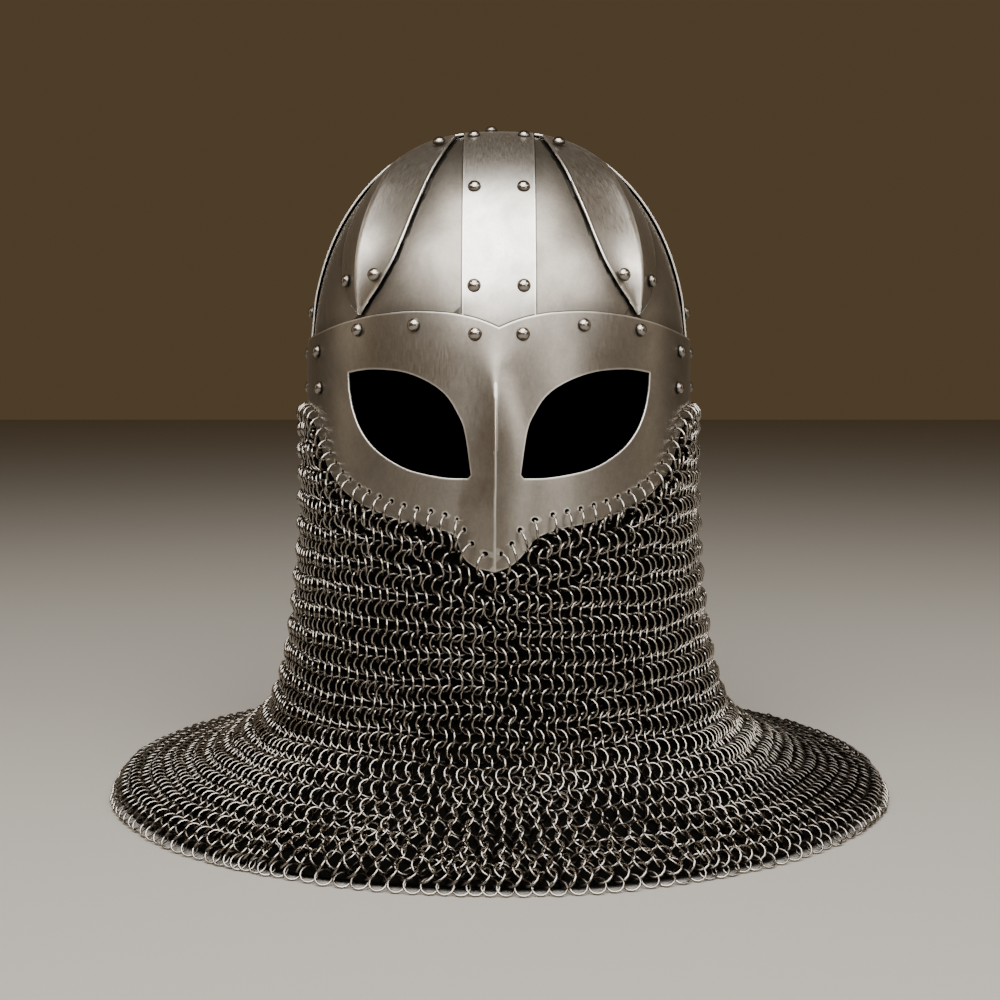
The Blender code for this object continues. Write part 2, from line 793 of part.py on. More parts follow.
def add_rivet(name, mesh, point, normal):
    """One rivet head on a plate, standing the usual gap off it."""
    rivet = bpy.data.objects.new(name, mesh)
    turn = normal.to_track_quat('Z', 'Y').to_matrix().to_4x4()
    rivet.matrix_world = Matrix.Translation(point + normal * GAP) @ turn
    bpy.context.scene.collection.objects.link(rivet)
    return rivet


def plate_rivets(mesh):
    """Rivets of the mask and the nape band."""
    def surface(azimuth, height):
        return face_point(azimuth, height, FACE_STAND_OFF + PLATE)

    for table in (FACE_RIVETS, NAPE_RIVETS):
        for part_name, azimuth, height in table:
            for side_name, side in (("left", -1), ("right", 1)):
                normal = outward(surface, azimuth * side, height, 1e-3)
                name = f"rivet_{part_name}_{side_name}"
                add_rivet(name, mesh, surface(azimuth * side, height), normal)
    normal = outward(surface, *NAPE_MIDDLE_RIVET, 1e-3)
    add_rivet("rivet_nape_middle", mesh, surface(*NAPE_MIDDLE_RIVET), normal)


def crest_rivets(mesh):
    """Rivets of the crest band in pairs, and the one at the crown."""
    stand_off = BAND_STAND_OFF + PLATE

    def surface(across, lift):
        return band_point(across, lift, stand_off, True)

    for part_name, across, height in CREST_RIVETS:
        lift = lift_at(height, stand_off)
        for end_name, angle in (("front", lift), ("back", math.pi - lift)):
            for side_name, side in (("left", -1), ("right", 1)):
                normal = outward(surface, across * side, angle, 1e-3)
                name = f"rivet_crest_{end_name}_{part_name}_{side_name}"
                add_rivet(name, mesh, surface(across * side, angle), normal)
    add_rivet("rivet_crown", mesh, surface(*CROWN_RIVET), outward(surface, *CROWN_RIVET, 1e-3))


def side_rivets(mesh):
    """Rivets of the two side bands, in front and behind."""
    stand_off = BAND_STAND_OFF + PLATE

    def surface(across, lift):
        return band_point(across, lift, stand_off, False)

    for part_name, across, height in SIDE_RIVETS:
        lift = lift_at(height, stand_off)
        for side_name, side in (("left", -1), ("right", 1)):
            normal = outward(surface, across, lift, 1e-3)
            point = mirrored(surface(across, lift), side, 1)
            add_rivet(f"rivet_side_{part_name}_{side_name}", mesh, point, mirrored(normal, side, 1))


def leaf_rivets(mesh):
    """Rivets of the four leaves."""
    lowest = LEAF_SECTIONS[0][0]
    span = LEAF_SECTIONS[-1][0] - lowest

    def surface(azimuth, elevation):
        crest_side, ridge, band_side = leaf_edges(elevation)
        if azimuth < ridge:
            across = (azimuth - ridge) / (ridge - crest_side)
        else:
            across = (azimuth - ridge) / (band_side - ridge)
        return leaf_point(across, (elevation - lowest) / span)

    for part_name, azimuth, elevation in LEAF_RIVETS:
        normal = outward(surface, azimuth, elevation, 0.5)
        point = surface(azimuth, elevation) + normal * (PLATE + GAP)
        for end_name, end in (("front", 1), ("back", -1)):
            for side_name, side in (("left", -1), ("right", 1)):
                name = f"rivet_leaf_{end_name}_{part_name}_{side_name}"
                add_rivet(name, mesh, mirrored(point, side, end), mirrored(normal, side, end))


def main():
    """Build the whole helmet."""
    clear_scene()
    build_skull(steel("skull steel", STEEL_COLOUR, 0.36))
    build_crest_band(steel("crest steel", STEEL_COLOUR, 0.32))
    band_steel = steel("side band steel", STEEL_COLOUR, 0.36)
    build_side_band("side_band_left", -1, band_steel)
    build_side_band("side_band_right", 1, band_steel)
    leaf_steel = steel("leaf steel", STEEL_COLOUR, 0.32)
    for end_name, end in (("front", 1), ("back", -1)):
        for side_name, side in (("left", -1), ("right", 1)):
            build_leaf(f"leaf_{end_name}_{side_name}", side, end, leaf_steel)
    build_face_mask(steel("mask steel", STEEL_COLOUR, 0.36))
    build_nape_band(steel("nape steel", STEEL_COLOUR, 0.36))
    mail_steel = steel("mail steel", MAIL_COLOUR, 0.5)
    build_collar(mail_steel)
    build_skirt(mail_steel)
    rivet = rivet_mesh(steel("rivet steel", RIVET_COLOUR, 0.28))
    plate_rivets(rivet)
    crest_rivets(rivet)
    side_rivets(rivet)
    leaf_rivets(rivet)


main()
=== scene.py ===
"""A riveted steel spectacle helmet with a chain mail aventail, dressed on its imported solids.

Units are metres and +Z is up.  The face looks along -Y, and left and right are those of someone
who looks at the face.  Azimuths are degrees round the helmet: 0 at the nose, 90 at its right side,
180 at the nape.  A place on a plate is given unrolled, as metres along the plate and a height.
"""
import math
import random

import bmesh
import bpy
from bpy.props import FloatProperty, FloatVectorProperty, IntProperty, PointerProperty
from mathutils import Matrix, Vector
from mathutils.geometry import delaunay_2d_cdt
from mathutils.kdtree import KDTree


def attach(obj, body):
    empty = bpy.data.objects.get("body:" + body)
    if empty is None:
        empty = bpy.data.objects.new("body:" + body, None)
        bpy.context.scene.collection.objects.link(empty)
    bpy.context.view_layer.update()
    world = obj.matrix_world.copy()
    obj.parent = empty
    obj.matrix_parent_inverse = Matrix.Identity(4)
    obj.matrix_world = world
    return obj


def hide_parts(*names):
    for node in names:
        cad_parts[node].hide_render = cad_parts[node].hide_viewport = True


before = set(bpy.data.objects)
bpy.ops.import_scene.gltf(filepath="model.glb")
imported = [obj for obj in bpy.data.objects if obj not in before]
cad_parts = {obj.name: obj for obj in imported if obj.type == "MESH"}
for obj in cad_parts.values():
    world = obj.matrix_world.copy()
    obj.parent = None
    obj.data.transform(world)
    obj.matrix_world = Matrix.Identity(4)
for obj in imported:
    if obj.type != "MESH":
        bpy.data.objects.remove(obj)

bl_info = {
    "name": "Spectacle Helmet with Mail",
    "version": (1, 0, 0),
    "blender": (4, 5, 0),
    "location": "3D View > Sidebar > Helmet",
    "description": "Dresses a riveted spectacle helmet and its chain mail aventail",
    "category": "Add Mesh",
}

MM = 0.001

# The skull, as the solids have it: half axes, and the height where its wall turns into the dome.
SKULL_HALF_WIDTH = 0.1105
SKULL_HALF_DEPTH = 0.1213
SKULL_RISE = 0.1398
DOME_BASE = 0.245
DOME_FULLNESS = 2.25
SKULL_RIM_SIDE = 0.2335
SKULL_RIM_FRONT = 0.2525
FACE_CUT_AZIMUTHS = (54.0, 63.0)
HEAD_MIDDLE = 0.22
NECK_MIDDLE = 0.18

# Plates, and how far the inner face of each layer stands off the skull.
PLATE = 1.2 * MM
BAND_STAND_OFF = 0.5 * MM
FACE_STAND_OFF = 2.0 * MM
BAND_HALF_WIDTH = 20.0 * MM
BAND_FRONT_END = 0.2640
BAND_END = 0.2600
BAND_GAP = 0.6 * MM
BAND_LIFT = 0.7 * MM
BAND_LIFT_HEIGHTS = (0.274, 0.292)

# Face mask and nape band, which meet at a seam on each side.
SEAM_AZIMUTH = 86.0
SEAM_GAP = 0.3 * MM
RIM_HEIGHT = 0.2195
BROW_SIDE_HEIGHT = 0.2655
SHEET_RADIUS = 0.1185

# The keel of the nose: where it starts, how far down it grows, its size, how much of its width it
# has at the top, how hollow its flanks are, and where and how much its ridge is rounded.
NOSE_KEEL_TOP = 0.272
NOSE_KEEL_FADE = 0.075
NOSE_KEEL_HEIGHT = 8.5 * MM
NOSE_KEEL_HALF_WIDTH = 21.0 * MM
NOSE_KEEL_TOP_SHARE = 0.55
KEEL_HOLLOW = 1.7
NOSE_ROUNDING = 4.2 * MM
NOSE_ROUNDING_HEIGHTS = (0.2265, 0.262)
NOSE_REACH = 45.0

# Lines that the mask's triangles follow: the ridge's heights, and lines beside it.
NOSE_CREASE = (0.1435, 0.268)
NOSE_SIDE_LINES = (1.3 * MM, 2.8 * MM, 4.8 * MM)
NOSE_SIDE_START = 0.205

# The hand-forged nose and right eye stand to the left: how far, less how much on the ridge itself,
# and the distances from the nose and the heights over which that fades.
NOSE_SWAY = 4.0 * MM
RIDGE_SWAY_LESS = 1.8 * MM
RIDGE_SWAY_WIDTH = 5.0 * MM
NOSE_SWAY_MIDDLE = 1.0 * MM
NOSE_SWAY_FLANKS = (28.0 * MM, 15.0 * MM)
NOSE_SWAY_HEIGHTS = (0.192, 0.176)
EYE_SWAY = 3.4 * MM
EYE_SWAY_INNER = (-16.0 * MM, 14.0 * MM)
EYE_SWAY_OUTER = (62.0 * MM, 18.0 * MM)
EYE_SWAY_HEIGHTS = (0.265, 0.245)

# Holes that the mail hangs from: radius, distance from the edge, pitch, the first one's distance
# from the nose, their corners, the share of the distance that must stay clear, and the share of
# the pitch between a seam and the nape's first hole.
HOLE_RADIUS = 1.25 * MM
HOLE_MARGIN = 8.8 * MM
HOLE_PITCH = 8.5 * MM
FIRST_HOLE = 4.2 * MM
HOLE_SIDES = 12
HOLE_CLEARANCE = 0.97
SEAM_HOLE_SHARE = 0.55

# How much deeper than wide the mail is at the neck, and the heights over which that sets in.
NECK_EXTRA_DEPTH = 0.0105
NECK_ROUND_HEIGHTS = (0.030, 0.140)

# Upper edge of the mask: azimuth, height.
BROW_LINE = (
    (0.0, 0.2705),
    (4.0, 0.2738),
    (8.0, 0.2762),
    (15.0, 0.2785),
    (24.0, 0.2794),
    (35.0, 0.2781),
    (49.0, 0.2743),
    (66.0, 0.2685),
    (78.0, 0.2660),
    (86.0, 0.2655),
)

# Lower edge of the mask: azimuth, height.
LOWER_EDGE = (
    (0.0, 0.1422),
    (4.0, 0.1438),
    (7.0, 0.1475),
    (9.5, 0.1537),
    (11.5, 0.1600),
    (15.0, 0.1629),
    (26.0, 0.1667),
    (39.5, 0.1735),
    (48.0, 0.1801),
    (54.0, 0.1872),
    (58.5, 0.1945),
    (61.5, 0.2025),
    (64.5, 0.2105),
    (69.0, 0.2168),
    (75.0, 0.2193),
    (86.0, 0.2195),
)

# Eye opening from its outer corner along the upper lid, and back along the lower lid.
UPPER_LID = (
    (46.7, 0.2464),
    (38.0, 0.2484),
    (29.0, 0.2477),
    (23.0, 0.2450),
    (17.7, 0.2401),
    (14.0, 0.2342),
    (11.4, 0.2262),
    (9.3, 0.2162),
    (7.6, 0.1930),
)
LOWER_LID = (
    (8.4, 0.1912),
    (14.0, 0.1912),
    (20.6, 0.1930),
    (26.3, 0.1957),
    (32.4, 0.2010),
    (37.8, 0.2078),
    (42.2, 0.2169),
    (45.0, 0.2272),
    (46.4, 0.2376),
)

# Leaf plate of one quarter: elevation above the dome's base centre, azimuths of its edge by
# the crest, of its ridge and of its edge by the side band, and the ridge's rise in millimetres.
LEAF_SECTIONS = (
    (15.9, 40.7, 41.2, 41.7, 0.6),
    (19.0, 37.9, 41.5, 46.0, 2.4),
    (22.8, 34.6, 42.0, 49.9, 4.0),
    (30.6, 30.1, 43.5, 55.3, 5.5),
    (38.9, 27.9, 44.8, 59.9, 6.0),
    (49.2, 26.6, 47.0, 63.5, 5.4),
    (60.0, 27.0, 53.0, 67.5, 3.3),
    (69.0, 31.0, 50.5, 61.5, 1.9),
    (76.0, 42.5, 46.5, 50.5, 0.6),
)

# Outer surface of the mail, from the neck down: height, radius.
MAIL_PROFILE = (
    (0.2350, 0.1181),
    (0.2000, 0.1183),
    (0.1700, 0.1187),
    (0.1400, 0.1200),
    (0.1150, 0.1227),
    (0.0950, 0.1254),
    (0.0800, 0.1279),
    (0.0670, 0.1309),
    (0.0550, 0.1352),
    (0.0450, 0.1417),
    (0.0360, 0.1528),
    (0.0280, 0.1669),
    (0.0210, 0.1825),
    (0.0150, 0.1990),
    (0.0105, 0.2140),
    (0.0070, 0.2258),
    (0.0045, 0.2315),
)


def linear(code):
    """A colour given as sRGB hex, in the linear values that Blender works with."""
    shares = [int(code[i:i + 2], 16) / 255 for i in (1, 3, 5)]
    return tuple(s / 12.92 if s <= 0.04045 else ((s + 0.055) / 1.055) ** 2.4 for s in shares)


def colour_property(name, description, code):
    """A colour that a user may change."""
    return FloatVectorProperty(
        name=name, description=description, subtype='COLOR', size=3, min=0.0, max=1.0,
        default=linear(code))


def length_property(name, description, value):
    """A length that a user may change."""
    return FloatProperty(
        name=name, description=description, subtype='DISTANCE', unit='LENGTH', min=0.0,
        default=value, precision=5)


def power_property(name, description, value):
    """The strength of a light that a user may change."""
    return FloatProperty(name=name, description=description, min=0.0, default=value)


class HelmetPlateLooks(bpy.types.PropertyGroup):
    """Finish of the steel plates."""
    edge_round: length_property("Edge Round", "How far the cut edges are rounded over", 0.4 * MM)
    grain_width: length_property("Grain Width", "Width of one brush mark as it is drawn", 0.6 * MM)
    grain_length: length_property("Grain Length", "Length of one brush mark", 7.0 * MM)
    skull: colour_property("Skull Steel", "Brushed steel of the skull", "#a69f95")
    strap: colour_property("Strap Steel", "Brushed steel of the straps", "#cdc8c0")
    leaf: colour_property("Leaf Steel", "Brushed steel of the leaf plates", "#c4beb5")
    mask: colour_property("Mask Steel", "Brushed steel of the mask and nape band", "#a9a298")
    rivet: colour_property("Rivet Steel", "Polished steel of the rivet heads", "#99928a")
    smudge: FloatProperty(
        name="Smudge", description="How much hands and oil have dulled the steel",
        subtype='FACTOR', min=0.0, max=1.0, default=0.35)
    # Painted shade: this dark colour lies in the seams between plates and on the lower part of each
    # rivet head, as sootiness and as the shade that falls there.
    grime: colour_property("Grime", "Soot and wax in the seams and round the rivets", "#2b2620")
    # Painted shade: the plates darken over this distance beside a seam, as soil and as shade.
    soil_and_shade_reach: length_property("Soil and Shade Reach", "How far the plates are dull beside a seam", 11.0 * MM)
    # Painted shade: the inner faces are near-black for the shade inside the helmet as well as for
    # their blackening.
    inside: colour_property("Inside", "Blackened inner faces", "#1c1a18")
    # Also painted beside edges and folds, as worn steel and as the highlight they catch.
    edge: colour_property("Edge", "Cut edges, ground bright", "#d8d4cc")


class HelmetMailLooks(bpy.types.PropertyGroup):
    """Sizes and finish of the mail."""
    wire: length_property("Wire", "Diameter of the wire", 1.3 * MM)
    ring: length_property("Ring", "Diameter of a ring at the middle of its wire", 11.2 * MM)
    front_pitch: length_property("Front Pitch", "Ring to ring along a row under the chin", 6.3 * MM)
    back_pitch: length_property("Back Pitch", "Ring to ring along a row at the nape", 5.5 * MM)
    hem_pitch: length_property("Hem Pitch", "Ring to ring along the last row", 8.6 * MM)
    row_drop: length_property("Row Drop", "Row to row where the mail hangs", 7.5 * MM)
    hem_drop: length_property("Hem Drop", "Row to row where the mail lies", 6.4 * MM)
    hanger: length_property("Hanging Ring", "Diameter of the rings in the holes", 11.9 * MM)
    hanger_wire: length_property("Hanging Wire", "Thickness of the wire in the holes", 1.5 * MM)
    wobble: length_property("Wobble", "How far a ring strays from its place", 0.32 * MM)
    wave: length_property("Wave", "How far the rows sag and rise", 0.9 * MM)
    lean: FloatProperty(
        name="Lean", description="How far a ring turns out of the mail, in degrees", default=44.0)
    hem_lean: FloatProperty(
        name="Hem Lean", description="The same where the mail lies spread out", default=40.0)
    hem_size: FloatProperty(
        name="Hem Size", description="Size of the rings at the hem, as a share", default=0.88)
    nod: FloatProperty(
        name="Nod", description="How far a hanging ring's top stands out, in degrees", default=13.0)
    seed: IntProperty(name="Seed", description="Draw of the small irregularities", default=7)
    steel: colour_property("Wire Steel", "Wire scoured bright", "#979189")
    # Painted shade: the wire's inner side is painted this near-black for the shade inside the mail,
    # as well as being oily.
    oil: colour_property("Oil", "Wire black with oil", "#17120e")
    # Painted shade: the backing is this near-black so that it stands for the shade between the
    # rings.
    leather: colour_property("Leather", "Backing that shows between the rings", "#040403")


class HelmetStageLooks(bpy.types.PropertyGroup):
    """Floor and light of the studio."""
    floor: colour_property("Floor", "Pale studio floor", "#8f8b84")
    surround: colour_property("Surround", "Light of the room itself", "#cbab7e")
    front: power_property("Room in Front", "Strength of the room's light from the front", 0.28)
    back: power_property("Room Behind", "Strength of the room's light from behind", 0.14)
    key_power: power_property("Key", "Power of the soft box above the face", 86.0)
    wing_power: power_property("Wings", "Power of the strip boxes beside the key", 8.0)
    low_power: power_property("Low", "Power of the soft box low on the right", 2.2)
    side_power: power_property("Sides", "Power of each soft box beside the helmet", 1.4)


def smooth_through(table, place):
    """The value at this place of a smooth curve through rows of (place, value)."""
    rows = sorted(table)
    if place <= rows[0][0]:
        return rows[0][1]
    if place >= rows[-1][0]:
        return rows[-1][1]
    slopes = []
    for before, after in zip(rows, rows[1:]):
        slopes.append((after[1] - before[1]) / (after[0] - before[0]))
    tangents = [slopes[0]]
    for left, right in zip(slopes, slopes[1:]):
        turning = left * right <= 0
        tangents.append(0.0 if turning else 2 * left * right / (left + right))
    tangents.append(slopes[-1])
    index = max(i for i in range(len(rows) - 1) if rows[i][0] <= place)
    (start, low), (end, high) = rows[index], rows[index + 1]
    span = end - start
    t = (place - start) / span
    return (
        low * (1 + 2 * t) * (1 - t) ** 2
        + tangents[index] * span * t * (1 - t) ** 2
        + high * t * t * (3 - 2 * t)
        + tangents[index + 1] * span * t * t * (t - 1)
    )


def column_of(table, column):
    """Rows of (first column, chosen column) of a wider table."""
    return [(row[0], row[column]) for row in table]


def spread(start, end, steps):
    """Evenly spaced values from start to end, both included."""
    return [start + (end - start) * i / steps for i in range(steps + 1)]


def blend(start, end, value):
    """0 at start, 1 at end, easing in and out between them."""
    t = min(1.0, max(0.0, (value - start) / (end - start)))
    return t * t * (3 - 2 * t)


def side_of(azimuth):
    """Degrees from the nose, the same on both sides."""
    return abs((azimuth + 180.0) % 360.0 - 180.0)


def skull_point(azimuth, height, stand_off):
    """The point at this azimuth and height on a surface that stands off the skull."""
    turn = math.radians(azimuth)
    up = max(0.0, (height - DOME_BASE) / (SKULL_RISE + stand_off))
    closing = (1.0 - min(1.0, up) ** DOME_FULLNESS) ** (1.0 / DOME_FULLNESS)
    return Vector((
        (SKULL_HALF_WIDTH + stand_off) * math.sin(turn) * closing,
        -(SKULL_HALF_DEPTH + stand_off) * math.cos(turn) * closing,
        height,
    ))


def dome_point(direction, stand_off):
    """Where this direction from the dome's base centre meets a surface off the skull."""
    wide = direction.x / (SKULL_HALF_WIDTH + stand_off)
    deep = direction.y / (SKULL_HALF_DEPTH + stand_off)
    high = abs(direction.z) / (SKULL_RISE + stand_off)
    reach = (wide * wide + deep * deep) ** (DOME_FULLNESS / 2) + high ** DOME_FULLNESS
    return direction * reach ** (-1.0 / DOME_FULLNESS) + Vector((0, 0, DOME_BASE))


def dome_direction(azimuth, elevation):
    """Unit direction from the dome's base centre."""
    turn = math.radians(azimuth)
    lift = math.radians(elevation)
    return Vector((
        math.sin(turn) * math.cos(lift),
        -math.cos(turn) * math.cos(lift),
        math.sin(lift),
    ))


def band_point(across, lift, stand_off, fore_and_aft):
    """A point of a strip that crosses the dome, at this angle up its arch."""
    rise = (SKULL_RISE + stand_off) * abs(math.sin(lift)) ** (2.0 / DOME_FULLNESS)
    reach = math.copysign(abs(math.cos(lift)) ** (2.0 / DOME_FULLNESS), math.cos(lift))
    if fore_and_aft:
        direction = Vector((across, -(SKULL_HALF_DEPTH + stand_off) * reach, rise))
    else:
        direction = Vector(((SKULL_HALF_WIDTH + stand_off) * reach, across, rise))
    return dome_point(direction, stand_off)


def strap_point(across, lift, stand_off, fore_and_aft):
    """A point of a strap: flatter than the dome, so its long edges stand off a little."""
    point = band_point(across, lift, stand_off, fore_and_aft)
    standing = BAND_LIFT * blend(*BAND_LIFT_HEIGHTS, point.z)
    return band_point(
        across, lift, stand_off + standing * (across / BAND_HALF_WIDTH) ** 2, fore_and_aft)


def lift_at(height, stand_off):
    """The angle up a band's arch that has this height."""
    share = (height - DOME_BASE) / (SKULL_RISE + stand_off)
    return math.asin(share ** (DOME_FULLNESS / 2.0))


def keel_rise(x, height):
    """How far the ridge of the nose stands out in front of the mask."""
    start = blend(NOSE_KEEL_TOP, NOSE_KEEL_TOP - NOSE_KEEL_FADE, height)
    widening = NOSE_KEEL_TOP_SHARE + (1.0 - NOSE_KEEL_TOP_SHARE) * start
    half_width = NOSE_KEEL_HALF_WIDTH * widening
    rounding = NOSE_ROUNDING * blend(*NOSE_ROUNDING_HEIGHTS, height)
    share = (math.hypot(x, rounding) - rounding) / half_width
    if share >= 1.0:
        return 0.0
    return NOSE_KEEL_HEIGHT * start * (1.0 - share) ** KEEL_HOLLOW


def flat(azimuth, height):
    """Place on the unrolled sheet, in metres along the plate and up."""
    return Vector((math.radians(azimuth) * SHEET_RADIUS, height))


def nose_sway(x, height):
    """How far the hand-forged nose and the right eye stand to the left on the sheet."""
    low = blend(*NOSE_SWAY_HEIGHTS, height)
    flanks = blend(*NOSE_SWAY_FLANKS, abs(x - NOSE_SWAY_MIDDLE))
    nose = flanks * (NOSE_SWAY - RIDGE_SWAY_LESS * math.exp(-(x / RIDGE_SWAY_WIDTH) ** 2))
    eye = EYE_SWAY * blend(*EYE_SWAY_INNER, x) * blend(*EYE_SWAY_OUTER, x)
    return -(low * nose + (1.0 - low) * blend(*EYE_SWAY_HEIGHTS, height) * eye)


def rolled(place):
    """Azimuth and height on the helmet of a place on the unrolled sheet."""
    return math.degrees((place[0] + nose_sway(place[0], place[1])) / SHEET_RADIUS), place[1]


def unswayed(azimuth, height_at):
    """The azimuth that would lie here if the nose stood straight."""
    start = flat(azimuth, 0.0).x
    x = start
    for _ in range(5):
        x = start - nose_sway(x, height_at(math.degrees(x / SHEET_RADIUS)))
    return math.degrees(x / SHEET_RADIUS)


def face_point(azimuth, height, stand_off):
    """A point of the mask, with the nose keel."""
    point = skull_point(azimuth, height, stand_off)
    if abs(azimuth) < NOSE_REACH:
        straight = unswayed(azimuth, lambda _: height)
        point.y -= keel_rise(skull_point(straight, height, stand_off).x, height)
    return point


def thinned(points, pitch):
    """Points at about this pitch along an open chain of points, with its two ends."""
    lengths = [0.0]
    for before, after in zip(points, points[1:]):
        lengths.append(lengths[-1] + (after - before).length)
    steps = max(1, round(lengths[-1] / pitch))
    result = []
    for wanted in spread(0.0, lengths[-1], steps):
        index = 0
        while index < len(points) - 2 and lengths[index + 1] < wanted:
            index += 1
        span = lengths[index + 1] - lengths[index]
        share = 0.0 if span == 0.0 else (wanted - lengths[index]) / span
        result.append(points[index].lerp(points[index + 1], min(1.0, share)))
    return result


def edge_chain(table, first, last, pitch):
    """An edge given as heights by azimuth, unrolled and evenly divided."""
    fine = [flat(a, smooth_through(table, a)) for a in spread(first, last, 400)]
    return thinned(fine, pitch)


def lid_chain(table, pitch):
    """One lid of the right eye as a smooth chain through its points."""
    nodes = [flat(a, h) for a, h in table]
    fine = []
    for i in range(len(nodes) - 1):
        before = nodes[max(0, i - 1)]
        after = nodes[min(len(nodes) - 1, i + 2)]
        for t in spread(0.0, 1.0, 8)[:-1]:
            fine.append(0.5 * (
                2.0 * nodes[i]
                + (nodes[i + 1] - before) * t
                + (2.0 * before - 5.0 * nodes[i] + 4.0 * nodes[i + 1] - after) * t * t
                + (3.0 * nodes[i] - before - 3.0 * nodes[i + 1] + after) * t ** 3
            ))
    fine.append(nodes[-1])
    return thinned(fine, pitch)


def flipped(points):
    """The same points on the other side of the nose, in the other order."""
    return [Vector((-p.x, p.y)) for p in reversed(points)]


def inside(point, loop):
    """Whether a point lies inside a closed loop."""
    crossing = False
    for a, b in zip(loop, loop[1:] + loop[:1]):
        if (a.y > point.y) != (b.y > point.y):
            if point.x < a.x + (b.x - a.x) * (point.y - a.y) / (b.y - a.y):
                crossing = not crossing
    return crossing


def nearest_tree(points):
    """A tree that finds the nearest of these places, in space or on the unrolled sheet."""
    tree = KDTree(len(points))
    for index, point in enumerate(points):
        tree.insert(point.to_3d(), index)
    tree.balance()
    return tree


def mask_hole_centres():
    """Centres of the mail holes along the right half of the mask's lower edge."""
    margin = math.degrees(HOLE_MARGIN / SHEET_RADIUS)
    azimuths = spread(-margin, SEAM_AZIMUTH + margin, 400)
    fine = [flat(a, smooth_through(LOWER_EDGE, abs(a))) for a in azimuths]
    inner = []
    for before, here, after in zip(fine, fine[1:], fine[2:]):
        along = (after - before).normalized()
        inner.append(here + Vector((-along.y, along.x)) * HOLE_MARGIN)
    last = flat(SEAM_AZIMUTH, 0).x - HOLE_PITCH / 2
    between = [p for p in inner if FIRST_HOLE <= p.x < last]
    tree = nearest_tree(fine)
    clear = [p for p in between if tree.find((p.x, p.y, 0.0))[2] > HOLE_MARGIN * HOLE_CLEARANCE]
    return thinned(clear, HOLE_PITCH)


def nape_hole_centres():
    """Centres of the mail holes along the nape band, from seam to seam."""
    seam = SEAM_AZIMUTH + math.degrees(SEAM_GAP / SHEET_RADIUS)
    margin = HOLE_PITCH * SEAM_HOLE_SHARE
    first = Vector((flat(seam, 0).x + margin, RIM_HEIGHT + HOLE_MARGIN))
    last = Vector((flat(360.0 - seam, 0).x - margin, RIM_HEIGHT + HOLE_MARGIN))
    return thinned([first, last], HOLE_PITCH)


def rim_height(azimuth):
    """Height of the plates' lower edge, mask or nape band."""
    signed = (azimuth + 180.0) % 360.0 - 180.0
    if abs(signed) >= SEAM_AZIMUTH:
        return RIM_HEIGHT
    if abs(signed) < NOSE_REACH:
        signed = unswayed(signed, lambda a: smooth_through(LOWER_EDGE, min(abs(a), 60.0)))
    return smooth_through(LOWER_EDGE, abs(signed))


def straight_rim(azimuth):
    """The same before the nose is swayed."""
    side = side_of(azimuth)
    return RIM_HEIGHT if side >= SEAM_AZIMUTH else smooth_through(LOWER_EDGE, side)


def mapped_grid(faces, place, grain, close=False):
    """A grid whose vertices go where place(u, v) says, with its grain mapped in metres."""
    bm = bmesh.new()
    bmesh.ops.create_grid(bm, x_segments=faces[0], y_segments=faces[1], size=0.5)
    layer = bm.loops.layers.uv.new("grain")
    for face in bm.faces:
        for loop in face.loops:
            loop[layer].uv = grain(loop.vert.co.x + 0.5, loop.vert.co.y + 0.5)
    for vertex in bm.verts:
        vertex.co = place(vertex.co.x + 0.5, vertex.co.y + 0.5)
    if close:
        bmesh.ops.remove_doubles(bm, verts=bm.verts, dist=1e-6)
    return bm


def face_away(bm):
    """Turn the faces of an open sheet away from the middle of the helmet."""
    middle = Vector((0, 0, HEAD_MIDDLE))
    bmesh.ops.recalc_face_normals(bm, faces=bm.faces)
    pointing = 0.0
    for face in bm.faces:
        pointing += (face.calc_center_median() - middle).dot(face.normal) * face.calc_area()
    if pointing < 0:
        bmesh.ops.reverse_faces(bm, faces=bm.faces)


def as_mesh(name, bm):
    """The mesh that a finished bmesh makes."""
    mesh = bpy.data.meshes.new(name)
    bm.to_mesh(mesh)
    bm.free()
    return mesh


def add_object(name, data):
    """A new object in the scene."""
    thing = bpy.data.objects.new(name, data)
    bpy.context.scene.collection.objects.link(thing)
    return thing


def add_piece(name, bm, finishes, slot, *nodes):
    """Turn a bmesh into a piece that rides on the helmet and stands for these solids."""
    mesh = as_mesh(name, bm)
    mesh.shade_smooth()
    for finish in finishes:
        mesh.materials.append(finish)
    piece = add_object(name, mesh)
    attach(piece, "root")
    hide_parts(*nodes)
    return piece


def add_plate(name, bm, finish, slot, *nodes, sharp=55.0):
    """An open sheet, the plate's outer face, given its thickness inwards and rounded edges."""
    looks = bpy.context.scene.helmet_plates
    face_away(bm)
    finishes = [
        finish, material("blackened steel", blackened_and_shaded_steel),
        material("ground steel edge", ground_edge)]
    piece = add_piece(name, bm, finishes, slot, *nodes)
    wall = piece.modifiers.new("plate thickness", 'SOLIDIFY')
    wall.thickness = PLATE
    wall.offset = -1.0
    wall.use_even_offset = False
    wall.material_offset = 1
    wall.material_offset_rim = 2
    edge = piece.modifiers.new("rounded edges", 'BEVEL')
    edge.width = looks.edge_round
    edge.segments = 2
    edge.profile = 0.5
    edge.limit_method = 'ANGLE'
    edge.angle_limit = math.radians(sharp)
    edge.use_clamp_overlap = False
    edge.harden_normals = True
    return piece


# How rough the brushed face of each plate is before its marks and smudges.
PLATE_ROUGHNESS = {"skull": 0.34, "strap": 0.31, "leaf": 0.3, "mask": 0.31}


def add_node(tree, kind, settings=None, values=None, links=None):
    """A new node of this kind, or the node of this name, with its settings, values and links."""
    node = tree.nodes.get(kind) or tree.nodes.new(kind)
    for name, value in (settings or {}).items():
        setattr(node, name, value)
    for name, value in (values or {}).items():
        node.inputs[name].default_value = value
    for name, source in (links or {}).items():
        tree.links.new(source, node.inputs[name])
    return node


def material(name, finish, *details):
    """The material of this name, which this finish makes when it is first asked for."""
    if name not in bpy.data.materials:
        made = bpy.data.materials.new(name)
        made.use_nodes = True
        finish(made.node_tree, *details)
    return bpy.data.materials[name]


